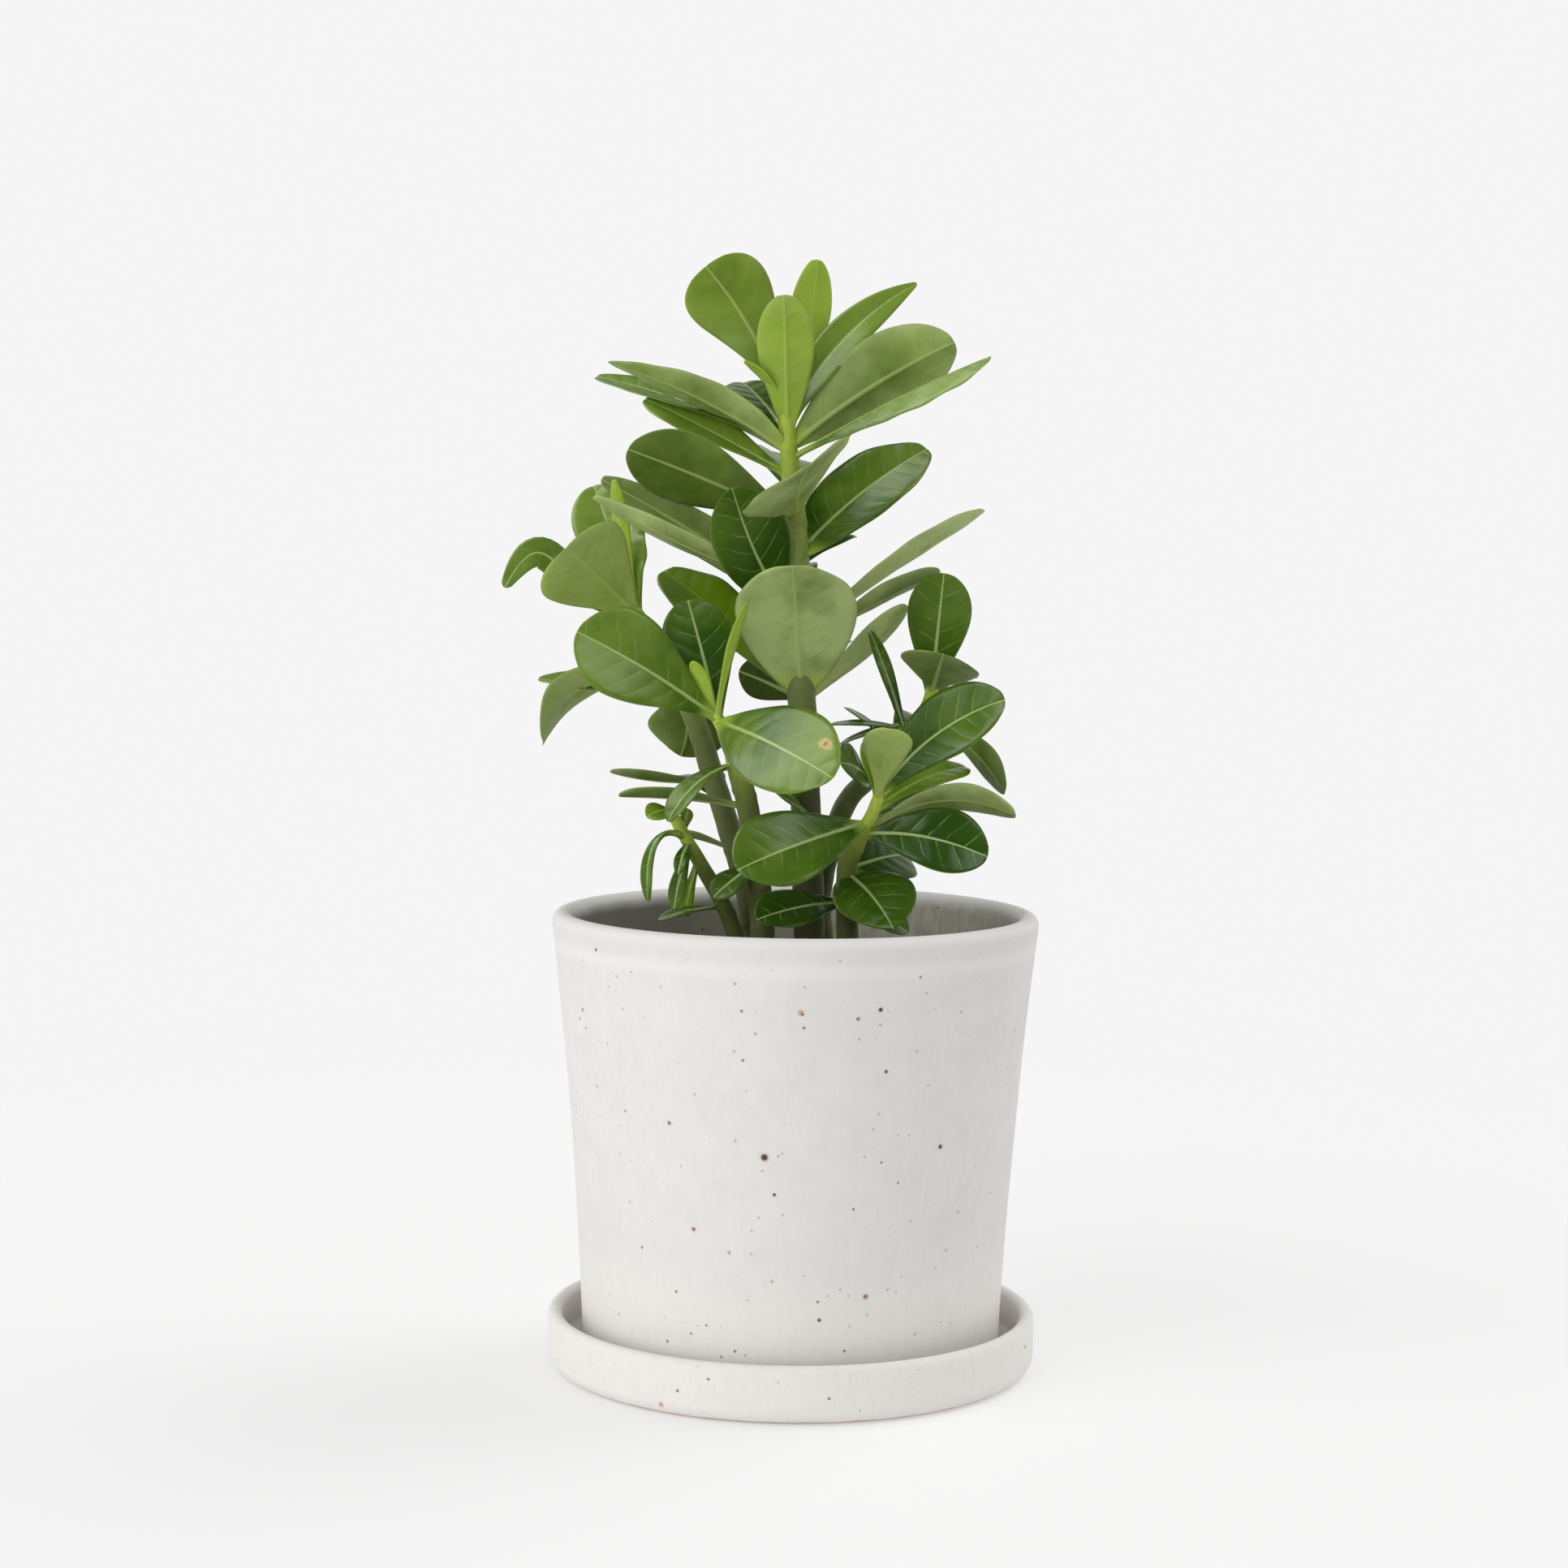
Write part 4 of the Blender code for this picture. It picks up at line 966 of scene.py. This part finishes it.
def stoneware_material(name, specks, radius_at, bare_below=None, lip_at=None, inside=False):
    """Matte speckled glaze.

    specks are placed on the front, and small ones are strewn all round. bare_below is the height
    of the bare clay at a foot, lip_at the height of a lip, and inside stands for the darker inner
    wall, which keeps a glazed edge at the top and is painted lighter towards the right, where
    light falls in.
    """
    made, t, shader = new_material(name)
    place = t.place()
    x, _, z = t.split(place)
    cloud = t.noise(place, 16.0, detail=4.0)
    grain = t.noise(place, 0.9, roughness=0.7)
    weave = t.noise(place, 2.2, stretch=(1.0, 1.0, 0.35))
    colour = t.mix(t.step(cloud, 0.3, 0.7) * 0.5, GLAZE, GLAZE_LIGHT)
    colour = t.mix(t.step(t.noise(place, 5.0), 0.45, 0.7, 0.0, 0.35), colour, GLAZE_LIGHT)
    # Painted light: lighter and warmer low down, on the foot and the saucer
    colour = t.mix(t.step(z, PAINTED_BOUNCE_FROM * MM, PAINTED_BOUNCE_FULL * MM, 0.0, 0.8), colour, GLAZE_PAINTED_BOUNCE)
    colour = t.mix(t.step(grain, 0.45, 0.8) * 0.22, colour, GLAZE_GREY)
    colour = t.mix(t.step(weave, 0.45, 0.8) * 0.18, colour, GLAZE_GREY)
    if lip_at is not None:
        # Greyer under the lip, a painted highlight on the lip, and a bright turned ring further down
        colour = t.mix(t.step(z, (lip_at - 7.5) * MM, (lip_at - 5.5) * MM, 0.0, 0.2), colour, GLAZE_GREY)
        colour = t.mix(t.step(z, (lip_at - 4.0) * MM, (lip_at - 1.5) * MM, 0.0, 0.5), colour, GLAZE_BRIGHT)
        band = t.step(z, (lip_at - 13.0) * MM, (lip_at - 10.0) * MM)
        band *= t.step(z, (lip_at - 7.0) * MM, (lip_at - 9.5) * MM, 0.0, 0.6)
        colour = t.mix(band, colour, GLAZE_BRIGHT)
    if inside:
        # Painted light: the inner wall is painted lighter towards the right, where light falls into the pot
        tint = t.mix(t.step(x, -45 * MM, 45 * MM), INSIDE, INSIDE_PAINTED_LIT)
        tint = t.mix(t.step(weave, 0.35, 0.7, 0.0, 0.4), tint, INSIDE_DARK)
        depth = t.step(z + cloud * (2 * MM), (RIM - 0.5) * MM, (RIM - 4.5) * MM)
        colour = t.mix(depth, colour, tint)
    if bare_below is not None:
        edge = z + (t.noise(place, 8.0) - 0.5) * (0.8 * MM)
        bare = t.step(edge, bare_below * 1.25 * MM, bare_below * 0.75 * MM, 0.0, 0.75)
        colour = t.mix(bare, colour, BARE_CLAY)
    colour = strewn_specks(t, place, colour)
    colour = placed_specks(t, place, colour, specks, radius_at)
    t.fill(shader, {
        "Base Color": colour,
        "Roughness": t.step(grain, 0.3, 0.7, 0.55, 0.7),
        "Specular IOR Level": 0.35,
        "Normal": t.bump(grain + weave * 0.8, 0.12, strength=0.35),
    })
    return made


# Turned stoneware

def pot_outer(height):
    """The pot's outer radius at a height above the table."""
    u = (height - POT_BASE) / POT_HEIGHT
    return POT_FOOT_RADIUS + POT_FLARE * u + POT_CURVE * u * u


def saucer_outer(height):
    """The saucer's outer radius, the same at every height."""
    return SAUCER_RADIUS


def arc(centre, radius, start, end, steps=8):
    """Points on an arc in a turned profile, as (radius, height), from start to end degrees."""
    angles = np.radians(np.linspace(start, end, steps + 1))
    return [(centre[0] + radius * math.cos(a), centre[1] + radius * math.sin(a)) for a in angles]


def turned(name, profile, materials, inner_from=None, wobble=0.0, rings=0.0):
    """A closed profile of (radius, height) turned round Z, with a hand-thrown wobble and faint rings.

    From the point inner_from on, it has the second material.
    """
    points = []
    for radius, height in profile:
        for step in range(TURNED_STEPS):
            angle = math.tau * step / TURNED_STEPS
            where = Vector((math.cos(angle) * 1.3, math.sin(angle) * 1.3, height * 0.02))
            drift = wobble * noise.noise(where)
            phase = height * 1.55 + 1.5 * noise.noise(where * 2.0)
            ring = rings * math.sin(phase) * noise.noise(where * 0.7)
            grown = radius + (drift + ring) * min(1.0, radius / 30.0)
            points.append((grown * math.cos(angle), grown * math.sin(angle), height))
    faces, finishes = [], []
    for index in range(len(profile)):
        faces += ring_faces(index, (index + 1) % len(profile), TURNED_STEPS)
        finishes += [int(inner_from is not None and index >= inner_from)] * TURNED_STEPS
    made = mesh_object(name, np.array(points), faces, materials, finishes)
    bm = bmesh.new()
    bm.from_mesh(made.data)
    bmesh.ops.remove_doubles(bm, verts=bm.verts, dist=0.000005)
    bmesh.ops.recalc_face_normals(bm, faces=bm.faces)
    bm.to_mesh(made.data)
    bm.free()
    made.data.set_sharp_from_angle(angle=math.radians(60))
    return made


def make_saucer(finish):
    """The saucer, with a rounded lip and foot."""
    outer = SAUCER_RADIUS
    inner = outer - SAUCER_WALL
    lip = SAUCER_WALL / 2
    profile = arc((outer - lip, SAUCER_HEIGHT - lip), lip, 90, 0)
    for height in np.linspace(SAUCER_HEIGHT - lip, SAUCER_CORNER, 6)[1:-1]:
        profile.append((outer, height))
    profile += arc((outer - SAUCER_CORNER, SAUCER_CORNER), SAUCER_CORNER, 0, -90)
    profile += [(outer - 12.0, 0.0), (30.0, 0.0), (0.0, 0.0), (0.0, SAUCER_FLOOR), (30.0, SAUCER_FLOOR)]
    corner = (inner - SAUCER_INNER_CORNER, SAUCER_FLOOR + SAUCER_INNER_CORNER)
    profile += arc(corner, SAUCER_INNER_CORNER, -90, 0)
    profile += arc((outer - lip, SAUCER_HEIGHT - lip), lip, 180, 90)[:-1]
    return turned("saucer_stoneware", profile, [finish], wobble=0.22, rings=0.05)


def make_pot(outside, inside):
    """The pot, down the outside from its lip, through the drain hole and up the inside."""
    lip = POT_WALL / 2
    lip_centre = (pot_outer(RIM - lip) - lip, RIM - lip)
    profile = arc(lip_centre, lip, 90, 0)
    for height in np.linspace(RIM - lip, POT_BASE + POT_CORNER, 60)[1:-1]:
        profile.append((pot_outer(height), height))
    corner = (pot_outer(POT_BASE + POT_CORNER) - POT_CORNER, POT_BASE + POT_CORNER)
    profile += arc(corner, POT_CORNER, 0, -90)
    profile += [(40.0, POT_BASE), (DRAIN_RADIUS, POT_BASE), (DRAIN_RADIUS, POT_BASE + POT_FLOOR)]
    inner_height = POT_BASE + POT_FLOOR + POT_INNER_CORNER
    corner = (pot_outer(inner_height) - POT_WALL - POT_INNER_CORNER, inner_height)
    inner_from = len(profile)
    profile += arc(corner, POT_INNER_CORNER, -90, 0)
    for height in np.linspace(inner_height, RIM - lip, 60)[1:-1]:
        profile.append((pot_outer(height) - POT_WALL, height))
    profile += arc(lip_centre, lip, 180, 90)[:-1]
    return turned("pot_stoneware", profile, [outside, inside], inner_from, wobble=0.3, rings=0.06)


# Soil

SOIL_GRAINS = 2600


def soil_height(radius):
    """The height of the soil, which is mounded a little round the swollen base."""
    share = max(0.0, (radius - CAUDEX_RADIUS) / (pot_outer(SOIL_TOP) - POT_WALL - CAUDEX_RADIUS))
    return SOIL_TOP + SOIL_MOUND * (1 - min(1.0, share))


def make_soil(finish):
    """The filling, with a crumbly top."""
    def edge(height):
        return pot_outer(height) - POT_WALL - GAP

    floor = POT_BASE + POT_FLOOR + GAP
    corner_height = floor + POT_INNER_CORNER
    profile = [(0.0, SOIL_WELL), (CAUDEX_RADIUS - 1.0, SOIL_WELL)]
    for radius in np.linspace(CAUDEX_RADIUS - 1.0, edge(SOIL_TOP), 60):
        profile.append((radius, soil_height(radius)))
    for height in np.linspace(SOIL_TOP, corner_height, 8)[1:]:
        profile.append((edge(height), height))
    corner = (edge(corner_height) - POT_INNER_CORNER, corner_height)
    profile += arc(corner, POT_INNER_CORNER, 0, -90)[1:]
    profile += [(0.0, floor)]
    made = turned("soil_fill", profile, [finish])
    for vert in made.data.vertices:
        if vert.co.z > (SOIL_TOP - 1) * MM:
            at = vert.co / MM
            vert.co.z += (noise.fractal(at * 0.22, 1.0, 2.0, 4) * 0.9 - 0.4) * MM
    return made


def make_soil_grains(finish):
    """Crumbs, bark chips, grit and a little white perlite, each a small rough lump."""
    rng = random.Random(11)
    template = bmesh.new()
    bmesh.ops.create_icosphere(template, subdivisions=1, radius=1.0)
    base = np.array([vert.co[:] for vert in template.verts])
    triangles = np.array([[vert.index for vert in face.verts] for face in template.faces])
    template.free()
    inner, outer = CAUDEX_RADIUS - 2.0, pot_outer(SOIL_TOP) - POT_WALL - 1.6
    points, faces, marks = [], [], []
    for index in range(SOIL_GRAINS):
        radius = math.sqrt(rng.uniform(inner**2, outer**2))
        angle = rng.uniform(0, math.tau)
        size = 0.45 + 1.25 * rng.random() ** 2.5
        kind = rng.random()
        if kind > PERLITE_FROM:
            size = 0.7 + 0.9 * rng.random()
        stretch = np.array([rng.uniform(0.8, 1.5), rng.uniform(0.6, 1.0), rng.uniform(0.45, 0.85)])
        spin = Matrix.Rotation(rng.uniform(0, math.tau), 3, "Z")
        turn = spin @ Matrix.Rotation(rng.uniform(-0.5, 0.5), 3, "X")
        rough = np.array([1 + 0.56 * (rng.random() - 0.5) for _ in base])
        lump = (base * rough[:, None] * stretch * size) @ np.array(turn).T
        height = soil_height(radius) + size * 0.2 - 0.1
        lump += np.array([radius * math.cos(angle), radius * math.sin(angle), height])
        faces.append(triangles + len(base) * index)
        points.append(lump)
        marks.append(np.tile([kind, rng.random(), 0.0], (len(base), 1)))
    made = mesh_object("soil_grains", np.concatenate(points), np.concatenate(faces), [finish],
                       marks={"grain": np.concatenate(marks)})
    made.data.shade_flat()
    return made


# Swollen base

def caudex_radius(height, angle):
    """The radius of the swollen base: broadest low, domed at the top, with shallow lobes."""
    rise = (height - CAUDEX_BOTTOM) / (CAUDEX_TOP - CAUDEX_BOTTOM)
    swell = math.sqrt(math.sin(math.pi * (0.28 + 0.22 * rise)))
    dome = math.sqrt(max(0.0, 1 - max(0.0, (rise - DOME_STARTS) / (1 - DOME_STARTS)) ** 2.2))
    lobes = 1 + 0.07 * math.cos(5 * angle + 0.6) * max(0.0, rise - 0.55)
    return CAUDEX_RADIUS * swell * dome * lobes


def tube_points(bm, points, sides=20):
    """A round tapering tube with closed ends, added to bm."""
    centres = np.array([point[:3] for point in points], float)
    _, firsts, seconds = frames_along(centres)
    corners = []
    for centre, first, second, point in zip(centres, firsts, seconds, points):
        for angle in np.arange(sides) * math.tau / sides:
            place = centre + (first * math.cos(angle) + second * math.sin(angle)) * point[3]
            corners.append(bm.verts.new(Vector(place) * MM))
    for ring in range(len(points) - 1):
        for quad in ring_faces(ring, ring + 1, sides):
            bm.faces.new([corners[index] for index in quad])
    bm.faces.new(corners[:sides][::-1])
    bm.faces.new(corners[-sides:])


def make_caudex(finish):
    """The swollen woody base, grown into the foot of each stem as one skin."""
    bm = bmesh.new()
    bmesh.ops.create_uvsphere(bm, u_segments=64, v_segments=40, radius=1.0)
    for vert in bm.verts:
        share = (vert.co.z + 1) / 2
        height = CAUDEX_BOTTOM + (CAUDEX_TOP - CAUDEX_BOTTOM) * share
        angle = math.atan2(vert.co.y, vert.co.x)
        at_pole = math.hypot(vert.co.x, vert.co.y) < 0.001
        radius = 0.0 if at_pole else caudex_radius(height, angle)
        x = CAUDEX_CENTRE[0] * share + radius * math.cos(angle)
        y = CAUDEX_CENTRE[1] * share + radius * math.sin(angle)
        vert.co = Vector((x, y, height)) * MM
    for points in STEMS.values():
        seat = Vector(points[0][:3])
        direction = (Vector(points[1][:3]) - seat).normalized()
        inward = Vector((CAUDEX_CENTRE[0], CAUDEX_CENTRE[1], seat.z - STUB_LENGTH)) - seat
        foot = seat + (inward * 0.35 - direction * STUB_LENGTH) * 0.7
        radius = points[0][3]
        route = [
            (*foot, radius * BARK_SWELL * 1.6),
            (*(seat - direction * 5.0), radius * BARK_SWELL * 1.22),
            (*(seat - direction * 2.5), radius * BARK_SWELL * 1.06),
            (*(seat + direction * 0.5), radius * 1.04),
        ]
        tube_points(bm, route)
    mesh = bpy.data.meshes.new("caudex_skin")
    bm.to_mesh(mesh)
    bm.free()
    mesh.materials.append(finish)
    made = new_object("caudex_skin", mesh)
    remesh = made.modifiers.new("grow_together", "REMESH")
    remesh.mode = "VOXEL"
    remesh.voxel_size = 0.75 * MM
    soften = made.modifiers.new("soften", "SMOOTH")
    soften.factor = 0.5
    soften.iterations = 6
    graph = bpy.context.evaluated_depsgraph_get()
    grown = bpy.data.meshes.new_from_object(made.evaluated_get(graph))
    made.modifiers.clear()
    made.data = grown
    bpy.data.meshes.remove(mesh)
    grown.name = "caudex_skin"
    outward = [vert.normal.copy() for vert in grown.vertices]
    for vert, normal in zip(grown.vertices, outward):
        at = vert.co / MM
        ridge = noise.fractal(Vector((at.x * 0.16, at.y * 0.16, at.z * 0.5)), 1.0, 2.0, 4)
        vert.co += normal * ridge * 0.35 * MM
    grown.shade_smooth()
    return made


# Light, floor and camera

FLOOR_RADIUS = 1200.0
FLOOR_COLOUR = (0.50, 0.50, 0.50)
FLOOR_GLOW = 0.83
FADE_FROM = 180.0
FADE_TO = 650.0
BACKDROP = (0.922, 0.918, 0.920)
WALLS = 0.90
WALL_TINT = (1.0, 0.997, 0.995)
CEILING = 0.35
# How far up a direction points, as a share, where the walls begin and end to be ceiling
CEILING_EDGE = (0.50, 0.85)
# What glossy surfaces see: a bright wall behind the plant, and a dark room in front and above
WALL_BEHIND = 0.80
ROOM_IN_FRONT = 0.02
ROOM_EDGE = (-0.1, 0.5)
DARK_ABOVE = 0.05
DARK_EDGE = (0.45, 0.80)
# Softboxes: degrees left of the front, degrees up, half their spread in degrees, brightness
# as light, and brightness as a reflection. The fourth takes light away, low on the right, and
# the last two show only in glossy faces.
SOFTBOXES = [
    (-12.0, 8.0, 30.0, 0.12, 0.0),
    (54.0, 20.0, 42.0, 1.6, 0.0),
    (-118.0, 46.0, 30.0, 2.2, 0.0),
    (-80.0, 4.0, 40.0, -0.14, 0.0),
    (92.0, 56.0, 36.0, 0.0, 4.0),
    (-62.0, 54.0, 18.0, 0.0, 2.8),
]


def make_floor():
    """A pale floor that glows a little and fades into the backdrop."""
    bm = bmesh.new()
    bmesh.ops.create_circle(bm, cap_ends=True, segments=96, radius=FLOOR_RADIUS * MM)
    mesh = bpy.data.meshes.new("floor")
    bm.to_mesh(mesh)
    bm.free()
    finish, t, shader = new_material("floor_pale")
    t.fill(shader, {
        "Base Color": FLOOR_COLOUR,
        "Roughness": 1.0,
        "Specular IOR Level": 0.0,
        "Emission Color": FLOOR_COLOUR,
        "Emission Strength": FLOOR_GLOW,
    })
    fade = t.step(t.vector("Value", "LENGTH", t.place()), FADE_FROM * MM, FADE_TO * MM)
    t.show_blend(fade, shader, t.node("ShaderNodeBsdfTransparent"))
    mesh.materials.append(finish)
    made = new_object("floor", mesh)


def make_world():
    """Soft studio light from pale walls and softboxes. Glossy faces see their own version of it."""
    world = bpy.data.worlds.new("studio")
    bpy.context.scene.world = world
    world.use_nodes = True
    t = Tree(world.node_tree)
    direction = t.place("Generated")
    _, y, z = t.split(direction)
    light = t.step(z, *CEILING_EDGE, WALLS, CEILING)
    gloss = t.step(y, *ROOM_EDGE, ROOM_IN_FRONT, WALL_BEHIND)
    gloss *= t.step(z, *DARK_EDGE, 1.0, DARK_ABOVE)
    for left, up, spread, brightness, reflection in SOFTBOXES:
        left, up, spread = math.radians(left), math.radians(up), math.radians(spread)
        towards = (-math.sin(left) * math.cos(up), -math.cos(left) * math.cos(up), math.sin(up))
        facing = t.vector("Value", "DOT_PRODUCT", direction, towards)
        lobe = t.step(facing, math.cos(spread), math.cos(spread * 0.55))
        light += lobe * brightness
        gloss += lobe * reflection
    paths = t.node("ShaderNodeLightPath").outputs
    entries = {0: Value(t, paths["Is Glossy Ray"]), 2: light, 3: gloss}
    strength = t.value(0, "ShaderNodeMix", entries, data_type="FLOAT")
    lit = world.node_tree.nodes["Background"]
    t.fill(lit, {"Color": WALL_TINT, "Strength": strength})
    shown = t.node("ShaderNodeBackground", {"Color": BACKDROP})
    t.show_blend(Value(t, paths["Is Camera Ray"]), lit, shown, "World Output")


def make_camera():
    """The camera that took the photograph, by its fitted place and lens."""
    data = bpy.data.cameras.new("camera")
    data.sensor_width = SENSOR_WIDTH
    data.lens = FOCAL_PIXELS * SENSOR_WIDTH / PHOTO_WIDTH
    data.clip_end = 20.0
    made = new_object("camera", data)
    tilt = Matrix.Rotation(math.radians(90.0 - CAMERA_PITCH), 4, "X")
    roll = Matrix.Rotation(math.radians(CAMERA_ROLL), 4, "Z")
    made.matrix_world = Matrix.Translation(Vector(CAMERA_PLACE) * MM) @ tilt @ roll
    bpy.context.scene.camera = made


def dress(piece, slot, *nodes):
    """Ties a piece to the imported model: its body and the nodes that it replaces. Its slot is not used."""
    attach(piece, BODY)
    if nodes:
        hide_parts(*nodes)


def main():
    """Builds every piece, the floor, the light and the camera."""
    leaf_faces = [leaf_material("top"), leaf_material("underside")]
    skin = stem_material()
    for stem, points in STEMS.items():
        route = smooth_route(points)
        dress(make_stem(stem, route, skin), "foliage", stem)
        dress(make_leaves(stem, route, leaf_faces), "foliage", stem)
    dress(make_caudex(bark_material()), "bark", "caudex")
    dress(make_soil(soil_material("soil_ground", by_grain=False)), "soil", "soil")
    dress(make_soil_grains(soil_material("soil_grain", by_grain=True)), "soil")
    outside = stoneware_material("pot_glaze", POT_SPECKS, pot_outer, lip_at=RIM)
    inside = stoneware_material("pot_inside", {}, pot_outer, inside=True)
    dress(make_pot(outside, inside), "stoneware", "pot")
    plate = stoneware_material("saucer_glaze", SAUCER_SPECKS, saucer_outer, bare_below=1.0)
    dress(make_saucer(plate), "stoneware", "saucer")
    make_floor()
    make_world()
    make_camera()
    bpy.context.scene.view_settings.view_transform = "Standard"


main()
